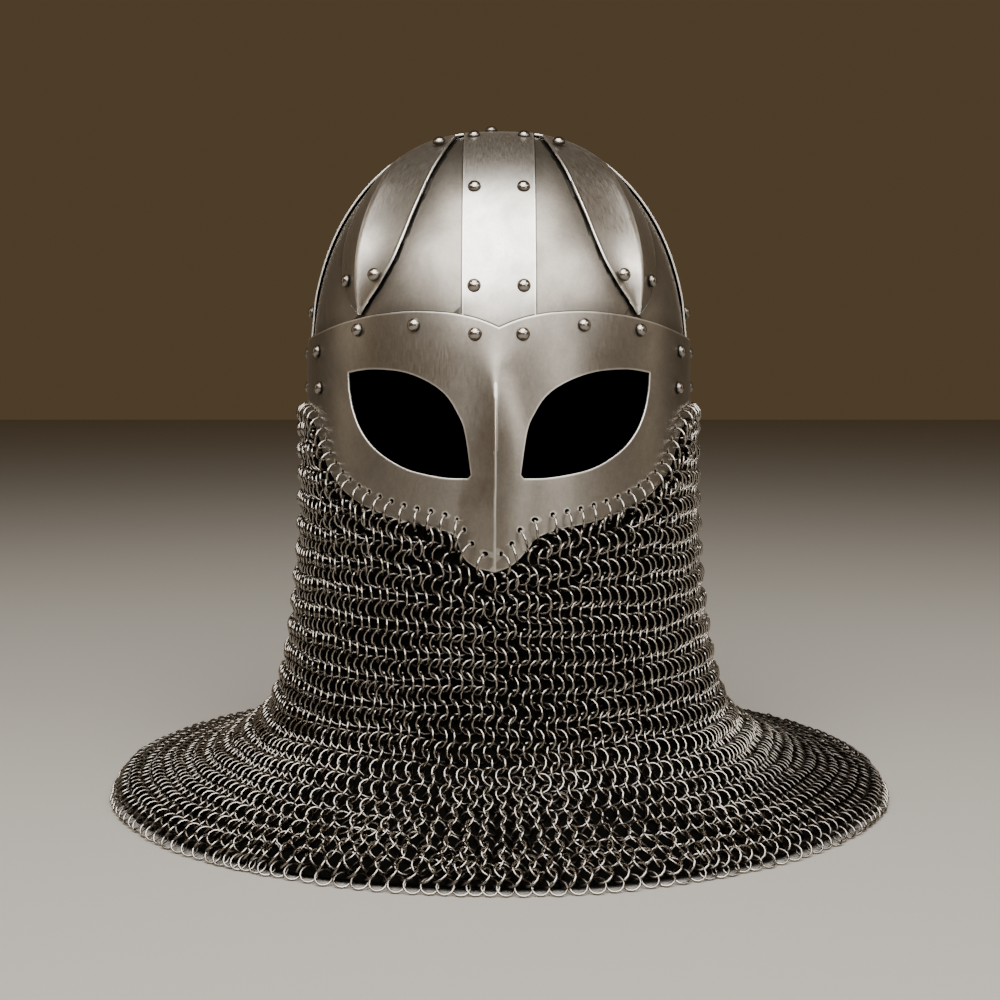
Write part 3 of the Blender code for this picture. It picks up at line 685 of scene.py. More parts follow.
def brushed_steel(tree, colour, roughness):
    """Mild steel sheet, brushed by hand along the plate and left bare.

    The marks run one way, so highlights spread across them.  Handling leaves duller patches.
    Soil and painted shade lie along the seams, and free edges and folds are painted bright, as
    worn steel and as the highlight they catch.
    """
    looks = bpy.context.scene.helmet_plates
    grain = add_node(tree, 'ShaderNodeUVMap', settings={"uv_map": "grain"})
    # The real marks are about 0.1 mm wide, too fine to show, so they are drawn wider.
    marks_place = add_node(
        tree, 'ShaderNodeMapping',
        values={"Scale": (1 / looks.grain_width, 1 / looks.grain_length, 1.0)},
        links={"Vector": grain.outputs["UV"]})
    marks = add_node(
        tree, 'ShaderNodeTexNoise', values={"Scale": 1.0, "Detail": 1.0, "Roughness": 0.5},
        links={"Vector": marks_place.outputs["Vector"]})
    where = add_node(tree, 'ShaderNodeTexCoord')
    patches = add_node(
        tree, 'ShaderNodeTexNoise',
        values={"Scale": 1 / (34.0 * MM), "Detail": 6.0, "Roughness": 0.62, "Distortion": 0.5},
        links={"Vector": where.outputs["Object"]})
    dulling = add_node(
        tree, 'ShaderNodeMapRange', values={"From Min": 0.4, "From Max": 0.68},
        links={"Value": patches.outputs["Fac"]})
    specks = add_node(
        tree, 'ShaderNodeTexNoise', values={"Scale": 1 / (1.6 * MM), "Detail": 3.0},
        links={"Vector": where.outputs["Object"]})
    mottle = add_node(
        tree, 'ShaderNodeMath', settings={"operation": 'MULTIPLY_ADD'}, values={1: 0.6},
        links={0: marks.outputs["Fac"], 2: specks.outputs["Fac"]})
    depth = add_node(
        tree, 'ShaderNodeMapRange',
        values={"From Min": 0.6, "From Max": 1.0, "To Min": 0.22, "To Max": 0.0},
        links={"Value": mottle.outputs["Value"]})
    # Painted shade: a dark line at each seam where a plate lies on another, and a soft darker band
    # beside it, both as soil and as the shade that falls there.
    seam = add_node(tree, 'ShaderNodeAttribute', settings={"attribute_name": "seam"})
    line = add_node(
        tree, 'ShaderNodeMapRange',
        values={"From Min": 0.6 * MM, "From Max": 1.6 * MM, "To Min": 0.85, "To Max": 0.0},
        links={"Value": seam.outputs["Fac"]})
    corner = add_node(
        tree, 'ShaderNodeMapRange', settings={"interpolation_type": 'SMOOTHSTEP'},
        values={"From Max": looks.soil_and_shade_reach, "To Min": 0.28, "To Max": 0.0},
        links={"Value": seam.outputs["Fac"]})
    seam_shade_and_soil = add_node(
        tree, 'ShaderNodeMath', settings={"operation": 'MAXIMUM'},
        links={0: line.outputs["Result"], 1: corner.outputs["Result"]})
    rim = add_node(tree, 'ShaderNodeAttribute', settings={"attribute_name": "rim"})
    # Painted highlight: edges and folds are painted bright, as worn steel and as the highlight they
    # catch.
    worn_and_lit_edge = add_node(
        tree, 'ShaderNodeMapRange',
        values={"From Min": 0.5 * MM, "From Max": 1.2 * MM, "To Min": 1.0, "To Max": 0.0},
        links={"Value": rim.outputs["Fac"]})
    # Over the bare steel: smudges, brush marks, soil and painted shade in the seams, and the rim
    # painted bright as worn steel and as highlight.
    tint = None
    for share, over in (
        (dulling.outputs["Result"], [c * (1.0 - looks.smudge) for c in colour]),
        (depth.outputs["Result"], [c * 0.4 for c in colour]),
        (seam_shade_and_soil.outputs["Value"], looks.grime),
        (worn_and_lit_edge.outputs["Result"], looks.edge),
    ):
        below = {6: tint.outputs[2]} if tint else {}
        tint = add_node(
            tree, 'ShaderNodeMix', settings={"data_type": 'RGBA'},
            values={6: (*colour, 1.0), 7: (*over, 1.0)}, links={"Factor": share, **below})
    sheen = add_node(
        tree, 'ShaderNodeMapRange',
        values={"From Min": 0.3, "From Max": 0.7, "To Min": roughness - 0.03,
                "To Max": roughness + 0.03},
        links={"Value": marks.outputs["Fac"]})
    duller = add_node(
        tree, 'ShaderNodeMath', settings={"operation": 'MULTIPLY_ADD'}, values={1: 0.07},
        links={0: dulling.outputs["Result"], 2: sheen.outputs["Result"]})
    add_node(
        tree, "Principled BSDF", values={"Metallic": 1.0},
        links={"Base Color": tint.outputs[2], "Roughness": duller.outputs["Value"]})


def plate_finish(part):
    """The brushed steel of the skull, the straps, the leaf plates or the mask and nape band."""
    colour = getattr(bpy.context.scene.helmet_plates, part)
    return material(f"brushed {part} steel", brushed_steel, colour, PLATE_ROUGHNESS[part])


def uneven_steel(tree, colour, grain, detail, roughness):
    """Steel of one colour whose roughness changes from spot to spot."""
    where = add_node(tree, 'ShaderNodeTexCoord')
    spots = add_node(
        tree, 'ShaderNodeTexNoise', values={"Scale": 1 / grain, "Detail": detail},
        links={"Vector": where.outputs["Object"]})
    sheen = add_node(
        tree, 'ShaderNodeMapRange', values={"To Min": roughness[0], "To Max": roughness[1]},
        links={"Value": spots.outputs["Fac"]})
    add_node(
        tree, "Principled BSDF", values={"Base Color": (*colour, 1.0), "Metallic": 1.0},
        links={"Roughness": sheen.outputs["Result"]})


def blackened_and_shaded_steel(tree):
    """Inner face of a plate, blackened over charcoal and dark enough to paint the shade inside the
    helmet: dull, with a grey bloom.
    """
    uneven_steel(tree, bpy.context.scene.helmet_plates.inside, 12.0 * MM, 4.0, (0.55, 0.75))


def ground_edge(tree):
    """Cut edge of a plate, ground smooth: brighter than the face, with fine cross marks."""
    uneven_steel(tree, bpy.context.scene.helmet_plates.edge, 3.0 * MM, 3.0, (0.3, 0.45))


def rubbed_and_shaded_steel(tree, attribute, grain, raggedness, limits, colours, roughness):
    """Steel painted bright where this attribute is high and dark where it is low, as painted light
    and shade and as rubbing and soiling.
    """
    where = add_node(tree, 'ShaderNodeTexCoord')
    patches = add_node(
        tree, 'ShaderNodeTexNoise', values={"Scale": 1 / grain, "Detail": 3.0},
        links={"Vector": where.outputs["Object"]})
    standing = add_node(tree, 'ShaderNodeAttribute', settings={"attribute_name": attribute})
    ragged = add_node(
        tree, 'ShaderNodeMath', settings={"operation": 'MULTIPLY_ADD'}, values={1: raggedness},
        links={0: patches.outputs["Fac"], 2: standing.outputs["Fac"]})
    bright_share = add_node(
        tree, 'ShaderNodeMapRange', values={"From Min": limits[0], "From Max": limits[1]},
        links={"Value": ragged.outputs["Value"]})
    tint = add_node(
        tree, 'ShaderNodeMix', settings={"data_type": 'RGBA'},
        values={6: (*colours[0], 1.0), 7: (*colours[1], 1.0)},
        links={"Factor": bright_share.outputs["Result"]})
    sheen = add_node(
        tree, 'ShaderNodeMapRange', values={"To Min": roughness[0], "To Max": roughness[1]},
        links={"Value": bright_share.outputs["Result"]})
    add_node(
        tree, "Principled BSDF", values={"Metallic": 1.0},
        links={"Base Color": tint.outputs[2], "Roughness": sheen.outputs["Result"]})


def forged_rivet(tree):
    """Rivet head, set hot and polished by handling: smoother than the plate, sooty and painted dark
    as shade at its foot, and painted lighter towards its top.
    """
    looks = bpy.context.scene.helmet_plates
    rubbed_and_shaded_steel(
        tree, "rise", 2.0 * MM, 0.3, (0.25, 0.8), (looks.grime, looks.rivet), (0.45, 0.2))


def drawn_wire(tree):
    """Drawn mild steel wire: bright on its outer side, and painted near-black as shade on its inner
    side, where it is also oily and sooty.
    """
    looks = bpy.context.scene.helmet_mail
    rubbed_and_shaded_steel(
        tree, "outside", 6.0 * MM, 0.5, (0.06, 0.72), (looks.oil, looks.steel), (0.5, 0.17))


def leather_as_shade(tree):
    """Vegetable-tanned hide, dyed black and waxed: matt, with a fine pebbled grain.  Its near-black
    also paints the shade between the rings.
    """
    looks = bpy.context.scene.helmet_mail
    where = add_node(tree, 'ShaderNodeTexCoord')
    pebbles = add_node(
        tree, 'ShaderNodeTexVoronoi', values={"Scale": 1 / (1.2 * MM)},
        links={"Vector": where.outputs["Object"]})
    patches = add_node(
        tree, 'ShaderNodeTexNoise', values={"Scale": 1 / (30.0 * MM), "Detail": 4.0},
        links={"Vector": where.outputs["Object"]})
    wax = add_node(
        tree, 'ShaderNodeMapRange', values={"To Min": 0.7, "To Max": 0.9},
        links={"Value": patches.outputs["Fac"]})
    relief = add_node(
        tree, 'ShaderNodeBump', values={"Strength": 0.4, "Distance": 0.15 * MM},
        links={"Height": pebbles.outputs["Distance"]})
    add_node(
        tree, "Principled BSDF",
        values={"Base Color": (*looks.leather, 1.0), "Specular IOR Level": 0.04},
        links={"Roughness": wax.outputs["Result"], "Normal": relief.outputs["Normal"]})


def studio_floor(tree):
    """Seamless paper floor: matt and pale, with a faint tooth."""
    looks = bpy.context.scene.helmet_stage
    where = add_node(tree, 'ShaderNodeTexCoord')
    tooth = add_node(
        tree, 'ShaderNodeTexNoise', values={"Scale": 1 / (2.0 * MM), "Detail": 2.0},
        links={"Vector": where.outputs["Object"]})
    relief = add_node(
        tree, 'ShaderNodeBump', values={"Strength": 0.05, "Distance": 0.2 * MM},
        links={"Height": tooth.outputs["Fac"]})
    add_node(
        tree, "Principled BSDF", values={"Base Color": (*looks.floor, 1.0), "Roughness": 0.9},
        links={"Normal": relief.outputs["Normal"]})


# The skull's grid: the share of its rows in the upright wall, the wall's top, the angle up the dome
# where the next row lies, and the length from rim to crown that its grain is mapped over.
WALL_SHARE = 0.1
WALL_TOP = 0.257
FIRST_LIFT = 5.0
SKULL_ARCH = 0.2

# Lengths that the grain of the straps and leaf plates is mapped over, and a leaf's grain width.
CREST_ARCH = 0.36
SIDE_ARCH = 0.15
LEAF_GRAIN_WIDTH = 0.06

# Faces across and along each grid, and how much closer a leaf's columns lie by its crest side.
SKULL_GRID = (168, 60)
CREST_GRID = (14, 120)
SIDE_GRID = (14, 56)
LEAF_GRID = (40, 72)
LEAF_CROWDING = 1.7


class HELMET_OT_skull(bpy.types.Operator):
    """Raise the domed skull in one plate"""
    bl_idname = "helmet.skull"
    bl_label = "Skull"

    def execute(self, context):
        def place(u, v):
            azimuth = 360.0 * u
            if v > 1.0 - 1e-6:
                return Vector((0, 0, DOME_BASE + SKULL_RISE))
            if v < WALL_SHARE:
                cut = blend(*FACE_CUT_AZIMUTHS, side_of(azimuth))
                low = SKULL_RIM_FRONT + (SKULL_RIM_SIDE - SKULL_RIM_FRONT) * cut
                return skull_point(azimuth, low + (WALL_TOP - low) * v / WALL_SHARE, 0.0)
            share = (v - WALL_SHARE) / (1.0 - WALL_SHARE)
            lift = math.radians(FIRST_LIFT + (90.0 - FIRST_LIFT) * share)
            height = DOME_BASE + SKULL_RISE * math.sin(lift) ** (2.0 / DOME_FULLNESS)
            return skull_point(azimuth, height, 0.0)

        def grain(u, v):
            return flat(360.0 * u, SKULL_ARCH * v)

        bm = mapped_grid(SKULL_GRID, place, grain, close=True)
        add_plate("skull", bm, plate_finish("skull"), "skull_steel", "skull_shell")
        return {'FINISHED'}


class HELMET_OT_straps(bpy.types.Operator):
    """Bend the crest strap and the two side straps over the skull"""
    bl_idname = "helmet.straps"
    bl_label = "Straps"

    def execute(self, context):
        stand_off = BAND_STAND_OFF + PLATE
        finish = plate_finish("strap")
        first = lift_at(BAND_FRONT_END, stand_off)
        last = math.pi - lift_at(BAND_END, stand_off)

        def crest(u, v):
            across = (u * 2.0 - 1.0) * BAND_HALF_WIDTH
            return strap_point(across, first + (last - first) * v, stand_off, True)

        def crest_grain(u, v):
            return (u * 2.0 * BAND_HALF_WIDTH, v * CREST_ARCH)

        bm = mapped_grid(CREST_GRID, crest, crest_grain)
        add_plate("crest_strap", bm, finish, "band_steel", "crest_band")
        low = lift_at(BAND_END, stand_off)
        inner_end = (BAND_HALF_WIDTH + BAND_GAP) / (SKULL_HALF_WIDTH + stand_off)
        high = math.acos(inner_end ** (DOME_FULLNESS / 2.0))
        for side_name, side in (("left", -1), ("right", 1)):

            def strap(u, v):
                across = (u * 2.0 - 1.0) * BAND_HALF_WIDTH
                point = strap_point(across, low + (high - low) * v, stand_off, False)
                point.x *= side
                return point

            def strap_grain(u, v):
                return (side + u * 2.0 * BAND_HALF_WIDTH, v * SIDE_ARCH)

            bm = mapped_grid(SIDE_GRID, strap, strap_grain)
            add_plate(f"side_strap_{side_name}", bm, finish, "band_steel", f"side_band_{side_name}")
        return {'FINISHED'}


def leaf_edges(elevation):
    """Azimuths of a leaf's two edges and its ridge, clear of the bands beside it."""
    crest_side, ridge, band_side = (
        smooth_through(column_of(LEAF_SECTIONS, column), elevation) for column in (1, 2, 3))
    level = dome_point(dome_direction(45.0, elevation), BAND_STAND_OFF)
    radius = math.hypot(level.x, level.y)
    clear = math.degrees(math.asin((BAND_HALF_WIDTH + BAND_GAP) / radius))
    crest_side = max(crest_side, clear)
    band_side = min(band_side, 90.0 - clear)
    ridge = min(max(ridge, crest_side + 0.5), band_side - 0.5)
    return crest_side, ridge, band_side


# How hollow a leaf is by its crest side, and the bead there: its height, where it peaks and ends
# from the edge, and the share of the leaf over which it starts and runs out.
LEAF_HOLLOW = 2.5
LEAF_BEAD = 1.0 * MM
LEAF_BEAD_PEAK = 1.0 * MM
LEAF_BEAD_END = 2.2 * MM
LEAF_BEAD_FADE = 0.06


def leaf_point(across, along):
    """Outer face of the front right leaf; across runs from -1 at the crest side to 1."""
    elevation = LEAF_SECTIONS[0][0] + (LEAF_SECTIONS[-1][0] - LEAF_SECTIONS[0][0]) * along
    crest_side, ridge, band_side = leaf_edges(elevation)
    rise = smooth_through(column_of(LEAF_SECTIONS, 4), elevation) * MM
    level = dome_point(dome_direction(ridge, elevation), BAND_STAND_OFF)
    radius = math.hypot(level.x, level.y)
    if across < 0:
        azimuth = ridge + (crest_side - ridge) * -across
        lift = rise * (1.0 + across) ** LEAF_HOLLOW
        from_edge = math.radians(azimuth - crest_side) * radius
        bead = 1.0 - (1.0 - from_edge / LEAF_BEAD_PEAK) ** 2
        if from_edge > LEAF_BEAD_PEAK:
            bead = 1.0 - blend(LEAF_BEAD_PEAK, LEAF_BEAD_END, from_edge)
        ends = blend(0.0, LEAF_BEAD_FADE, along) * blend(1.0, 1.0 - LEAF_BEAD_FADE, along)
        lift += LEAF_BEAD * bead * ends
    else:
        azimuth = ridge + (band_side - ridge) * across
        lift = rise * (1.0 - across)
    return dome_point(dome_direction(azimuth, elevation), BAND_STAND_OFF + PLATE + lift)


class HELMET_OT_leaves(bpy.types.Operator):
    """Hammer the four ridged leaf plates"""
    bl_idname = "helmet.leaves"
    bl_label = "Leaf Plates"

    def execute(self, context):
        finish = plate_finish("leaf")
        for end_name, end in (("front", 1), ("back", -1)):
            for side_name, side in (("left", -1), ("right", 1)):

                def place(u, v):
                    across = u * 2.0 - 1.0
                    if across < 0.0:
                        across = -1.0 + (1.0 + across) ** LEAF_CROWDING
                    point = leaf_point(across, v)
                    return Vector((point.x * side, point.y * end, point.z))

                def grain(u, v):
                    return (2.0 * side + end + u * LEAF_GRAIN_WIDTH, v * SIDE_ARCH)

                bm = mapped_grid(LEAF_GRID, place, grain)
                where = f"{end_name}_{side_name}"
                add_plate(f"leaf_plate_{where}", bm, finish, "leaf_steel", f"leaf_{where}")
        return {'FINISHED'}


# The spacing of a sheet's triangles, how much of it they keep from any edge, and how much closer
# the mask's edge is divided, and the eyes' again.
SHEET_SPACING = 3.2 * MM
SHEET_MARGIN = 0.6
EDGE_SHARE = 0.8


def hole_loop(centre):
    """The outline of one mail hole."""
    turns = [2.0 * math.pi * i / HOLE_SIDES for i in range(HOLE_SIDES)]
    return [centre + Vector((math.cos(t), math.sin(t))) * HOLE_RADIUS for t in turns]


def cut_sheet(outline, openings, creases, spacing):
    """A flat sheet of even triangles inside the outline, with openings and crease lines."""
    loops = [outline] + openings
    points = [p for loop in loops for p in loop]
    edges = []
    start = 0
    for loop in loops:
        edges += [(start + i, start + (i + 1) % len(loop)) for i in range(len(loop))]
        start += len(loop)
    for crease in creases:
        start = len(points)
        edges += [(start + i, start + i + 1) for i in range(len(crease) - 1)]
        points += crease
    lows = [min(p[i] for p in outline) for i in range(2)]
    highs = [max(p[i] for p in outline) for i in range(2)]
    bounds = [[f(p[i] for p in hole) for i in range(2) for f in (min, max)] for hole in openings]
    tree = nearest_tree(points)
    # Rows of even triangles, each shifted by half a step from the last.
    row_height = spacing * math.sqrt(0.75)
    rows = int((highs[1] - lows[1]) / row_height)
    columns = int((highs[0] - lows[0]) / spacing)
    for row in range(rows + 1):
        shift = 0.25 if row % 2 else -0.25
        for column in range(columns + 1):
            spot = Vector((
                (lows[0] + highs[0]) / 2 + (column - columns / 2 + shift) * spacing,
                lows[1] + (row + 0.5) * row_height,
            ))
            distance = tree.find((spot.x, spot.y, 0.0))[2]
            if distance < spacing * SHEET_MARGIN or not inside(spot, outline):
                continue
            near = [
                hole for hole, (left, right, low, high) in zip(openings, bounds)
                if left <= spot.x <= right and low <= spot.y <= high]
            if not any(inside(spot, hole) for hole in near):
                points.append(spot)
    flat_points, _, faces, _, _, _ = delaunay_2d_cdt(points, edges, [], 0, 1e-7)
    bm = bmesh.new()
    vertices = [bm.verts.new((p.x, p.y, 0.0)) for p in flat_points]
    for face in faces:
        middle = sum((flat_points[i] for i in face), Vector((0.0, 0.0))) / len(face)
        if inside(middle, outline) and not any(inside(middle, hole) for hole in openings):
            bm.faces.new([vertices[i] for i in face])
    loose = [v for v in bm.verts if not v.link_faces]
    bmesh.ops.delete(bm, geom=loose, context='VERTS')
    return bm


def roll_up(bm, surface, stand_off):
    """Bend a flat sheet round the helmet, with its grain mapped as it lay."""
    layer = bm.loops.layers.uv.new("grain")
    for face in bm.faces:
        for loop in face.loops:
            loop[layer].uv = loop.vert.co.xy
    for vertex in bm.verts:
        azimuth, height = rolled(vertex.co)
        vertex.co = surface(azimuth, height, stand_off)


class HELMET_OT_mask(bpy.types.Operator):
    """Cut the spectacle mask, bend it and raise the keel of the nose"""
    bl_idname = "helmet.mask"
    bl_label = "Face Mask"

    def execute(self, context):
        pitch = SHEET_SPACING * EDGE_SHARE
        brow = edge_chain(BROW_LINE, SEAM_AZIMUTH, 0.0, pitch)
        lower = edge_chain(LOWER_EDGE, 0.0, SEAM_AZIMUTH, pitch)
        side = thinned([lower[-1], brow[0]], pitch)
        right_half = lower + side[1:-1] + brow
        outline = right_half + flipped(right_half)[1:-1]
        eye = [p for lid in (UPPER_LID, LOWER_LID) for p in lid_chain(lid, pitch * EDGE_SHARE)]
        holes = [hole_loop(c) for c in mask_hole_centres()]
        openings = [eye, flipped(eye)] + holes + [flipped(loop) for loop in holes]
        creases = [[Vector((0.0, h)) for h in spread(*NOSE_CREASE, 56)]]
        for side in NOSE_SIDE_LINES:
            for x in (-side, side):
                heights = spread(NOSE_SIDE_START, NOSE_CREASE[1], 28)
                creases.append([Vector((x, h)) for h in heights])
        bm = cut_sheet(outline, openings, creases, SHEET_SPACING)
        roll_up(bm, face_point, FACE_STAND_OFF + PLATE)
        add_plate(
            "spectacle_mask", bm, plate_finish("mask"), "mask_steel", "face_mask", sharp=45.0)
        return {'FINISHED'}


class HELMET_OT_nape(bpy.types.Operator):
    """Cut and bend the plain band round the back"""
    bl_idname = "helmet.nape"
    bl_label = "Nape Band"

    def execute(self, context):
        seam = SEAM_AZIMUTH + math.degrees(SEAM_GAP / SHEET_RADIUS)
        start = flat(seam, 0).x
        end = flat(360.0 - seam, 0).x
        corners = [Vector((start, RIM_HEIGHT)), Vector((end, RIM_HEIGHT))]
        corners += [Vector((end, BROW_SIDE_HEIGHT)), Vector((start, BROW_SIDE_HEIGHT))]
        outline = []
        for before, after in zip(corners, corners[1:] + corners[:1]):
            outline += thinned([before, after], SHEET_SPACING)[:-1]
        holes = [hole_loop(c) for c in nape_hole_centres()]
        bm = cut_sheet(outline, holes, [], SHEET_SPACING)
        roll_up(bm, skull_point, FACE_STAND_OFF + PLATE)
        add_plate("nape_rim", bm, plate_finish("mask"), "mask_steel", "nape_band")
        return {'FINISHED'}


# The plates from the lowest layer to the highest, and the spacing of the marks on their edges.
PLATE_LAYERS = (
    ("skull",),
    ("crest_strap", "side_strap_left", "side_strap_right", "leaf_plate_front_left",
     "leaf_plate_front_right", "leaf_plate_back_left", "leaf_plate_back_right"),
    ("spectacle_mask", "nape_rim"),
)
EDGE_MARKS = 0.8 * MM
FAR_FROM_EDGE = 50.0 * MM
SHARP_FOLD = math.radians(15.0)


def edge_marks(piece, folds=False):
    """Spots along the free edges of a plate's sheet, and its folds, each with its way out."""
    bm = bmesh.new()
    bm.from_mesh(piece.data)
    marks = []
    for edge in bm.edges:
        if not edge.is_boundary and not (folds and edge.calc_face_angle_signed(0.0) > SHARP_FOLD):
            continue
        start, end = edge.verts[0].co, edge.verts[1].co
        along = (end - start).normalized()
        out = (start + end) / 2 - edge.link_faces[0].calc_center_median()
        out -= along * out.dot(along)
        if out.length < 1e-9:
            continue
        out.normalize()
        steps = max(1, math.ceil((end - start).length / EDGE_MARKS))
        marks += [(start.lerp(end, (i + 0.5) / steps), out) for i in range(steps)]
    bm.free()
    return marks


def edge_distances(piece, marks):
    """How far each point of a sheet lies outside the marked edges, or inside where negative."""
    if not marks:
        return [FAR_FROM_EDGE] * len(piece.data.vertices)
    tree = nearest_tree([spot for spot, _ in marks])
    distances = []
    for vertex in piece.data.vertices:
        _, index, _ = tree.find(vertex.co)
        spot, out = marks[index]
        reach = vertex.co - spot
        reach -= vertex.normal * reach.dot(vertex.normal)
        across = reach.dot(out)
        aside = math.sqrt(max(0.0, reach.length_squared - across * across))
        square = aside < max(2.0 * EDGE_MARKS, 0.5 * abs(across))
        distances.append(across if square else reach.length)
    return distances


class HELMET_OT_wear(bpy.types.Operator):
    """Mark the plates' edges and folds, painted bright as worn steel and as highlight, and the
    seams where one lies on another, painted dark as soil and as shade
    """
    bl_idname = "helmet.wear"
    bl_label = "Wear and Grime"

    def execute(self, context):
        layers = [[bpy.data.objects[name] for name in names] for names in PLATE_LAYERS]
        for number, layer in enumerate(layers):
            upper = [piece for higher in layers[number + 1:] for piece in higher]
            above = [mark for piece in upper for mark in edge_marks(piece)]
            for piece in layer:
                # The seam distance tells where the painted shade and soil lie beside a higher
                # plate.
                seam = piece.data.attributes.new("seam", 'FLOAT', 'POINT')
                seam.data.foreach_set("value", edge_distances(piece, above))
                # The rim distance tells where edges and folds are painted bright, as worn steel and
                # as highlight.
                rim = piece.data.attributes.new("rim", 'FLOAT', 'POINT')
                inward = [abs(d) for d in edge_distances(piece, edge_marks(piece, True))]
                rim.data.foreach_set("value", inward)
        return {'FINISHED'}


def rivet_seat(node):
    """Middle of a rivet's foot and the way it points, read from its solid."""
    points = {tuple(round(c, 6) for c in v.co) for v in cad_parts[node].data.vertices}
    points = [Vector(p) for p in points]
    centre = sum(points, Vector()) / len(points)
    middle = Vector((0, 0, HEAD_MIDDLE))
    axis = (centre - middle).normalized()
    # The foot's corners are the points that lie furthest from the axis of the dome.
    for _ in range(4):
        reach = sorted(points, key=lambda p: ((p - centre) - axis * (p - centre).dot(axis)).length)
        foot = reach[-8:]
        spot = sum(foot, Vector()) / len(foot)
        normal = (foot[0] - spot).cross(foot[3] - spot)
        for a, b in zip(foot, foot[1:]):
            turn = (a - spot).cross(b - spot)
            if turn.length > normal.length:
                normal = turn
        normal.normalize()
        axis = normal if normal.dot(axis) > 0 else -normal
    return spot, axis


# A rivet's head: radius, height, how far its foot is let in and draws in, and its faces round.
RIVET_RADIUS = 3.7 * MM
RIVET_HEIGHT = 3.1 * MM
RIVET_FOOT = 0.3 * MM
RIVET_FOOT_SHARE = 0.9
RIVET_SIDES = 24


def rivet_head():
    """The head of a rivet as one closed dome, its foot at the origin."""
    bm = bmesh.new()
    chain = [bm.verts.new((RIVET_RADIUS * RIVET_FOOT_SHARE, 0, -RIVET_FOOT))]
    for lift in spread(4.0, 90.0, 9):
        turn = math.radians(lift)
        chain.append(bm.verts.new((
            RIVET_RADIUS * math.cos(turn), 0, RIVET_HEIGHT * math.sin(turn))))
    edges = [bm.edges.new(pair) for pair in zip(chain, chain[1:])]
    bmesh.ops.spin(
        bm, geom=chain + edges, cent=(0, 0, 0), axis=(0, 0, 1), angle=2 * math.pi,
        steps=RIVET_SIDES, use_merge=True, use_duplicate=False)
    bmesh.ops.remove_doubles(bm, verts=bm.verts, dist=1e-6)
    foot = [e for e in bm.edges if e.is_boundary]
    bmesh.ops.holes_fill(bm, edges=foot, sides=RIVET_SIDES)
    bmesh.ops.recalc_face_normals(bm, faces=bm.faces)
    mesh = as_mesh("rivet_head", bm)
    # The rise sets the painted shade of the head: darkest at the foot, lighter towards the top.
    rise = mesh.attributes.new("rise", 'FLOAT', 'POINT')
    rise.data.foreach_set("value", [max(0.0, v.co.z / RIVET_HEIGHT) for v in mesh.vertices])
    return mesh


def stamped(template, places):
    """One bmesh with a copy of the template at each place."""
    bm = bmesh.new()
    for place in places:
        copy = template.copy()
        copy.transform(place)
        bm.from_mesh(copy)
        bpy.data.meshes.remove(copy)
    return bm


def linked(wire, places):
    """One bmesh of rings at (diameter, place, way out, lightness), each point marked by its side
    for the painted shade.
    """
    bm = bmesh.new()
    templates = {}
    for ring, place, out, bare in places:
        if ring not in templates:
            templates[ring] = butted_ring(wire, ring)
        copy = templates[ring].copy()
        way = place.to_3x3().inverted() @ out
        # The outside value paints the wire light on its outer side and dark, as shade, on its inner
        # side.
        side = copy.attributes.new("outside", 'FLOAT', 'POINT')
        side.data.foreach_set(
            "value", [bare + v.co.dot(way) / (ring / 2) for v in copy.vertices])
        copy.transform(place)
        bm.from_mesh(copy)
        bpy.data.meshes.remove(copy)
    for template in templates.values():
        bpy.data.meshes.remove(template)
    return bm


class HELMET_OT_rivets(bpy.types.Operator):
    """Set a domed rivet head on the seat of each rivet"""
    bl_idname = "helmet.rivets"
    bl_label = "Rivets"

    def execute(self, context):
        head = rivet_head()
        groups = {}
        for node in sorted(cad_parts):
            if node.startswith("rivet_"):
                groups.setdefault(node.split("_")[1], []).append(node)
        for group, nodes in groups.items():
            places = []
            for node in nodes:
                spot, axis = rivet_seat(node)
                turn = axis.to_track_quat('Z', 'Y').to_matrix().to_4x4()
                places.append(Matrix.Translation(spot) @ turn)
            bm = stamped(head, places)
            finish = material("forged rivet steel", forged_rivet)
            add_piece(f"rivet_heads_{group}", bm, [finish], "rivet_steel", *nodes)
        bpy.data.meshes.remove(head)
        return {'FINISHED'}


# A ring's steps round, the sides of its wire, and the gap between its ends.
RING_STEPS = 13
WIRE_SIDES = 5
RING_GAP = 0.25 * MM


def butted_ring(wire, ring):
    """A ring of wire whose two ends meet, flat on the XY plane round the origin."""
    gap = RING_GAP / (ring / 2)
    bm = bmesh.new()
    bmesh.ops.create_circle(bm, segments=WIRE_SIDES, radius=wire / 2)
    turn = Matrix.Translation((ring / 2, 0, 0)) @ Matrix.Rotation(math.pi / 2, 4, 'X')
    bmesh.ops.transform(bm, matrix=turn, verts=bm.verts)
    bmesh.ops.spin(
        bm, geom=list(bm.verts) + list(bm.edges), cent=(0, 0, 0), axis=(0, 0, 1),
        angle=2 * math.pi - gap, steps=RING_STEPS, use_duplicate=False, use_merge=False)
    ends = [e for e in bm.edges if e.is_boundary]
    bmesh.ops.holes_fill(bm, edges=ends, sides=WIRE_SIDES)
    bmesh.ops.recalc_face_normals(bm, faces=bm.faces)
    return as_mesh("butted_ring", bm)


# Mail: how far the rings' middle lies inside the outer surface and over what height that sets in,
# the hem row's run, how far the first ring overlaps the edge above it, how far below a steep edge
# it may hang, the degrees over which that edge's slope is taken, and the number of rows over
# which the rows settle level.
MAIL_INSET = 3.6 * MM
INSET_FADE = 0.02
HEM_RUN = 4.2 * MM
EDGE_OVERLAP = 0.4 * MM
STEEPEST_DROP = 8.5 * MM
RIM_STEP = 3.0
SETTLING_ROWS = 6

# Runs up from the hem: where a row has its hanging pitch, where the mail turns from hanging to
# lying, and where the row spacing goes from the hem's to the hanging mail's.
HANGING_RUN = 0.115
SPREADING_RUNS = (0.135, 0.04)
DROP_RUNS = (0.03, 0.16)

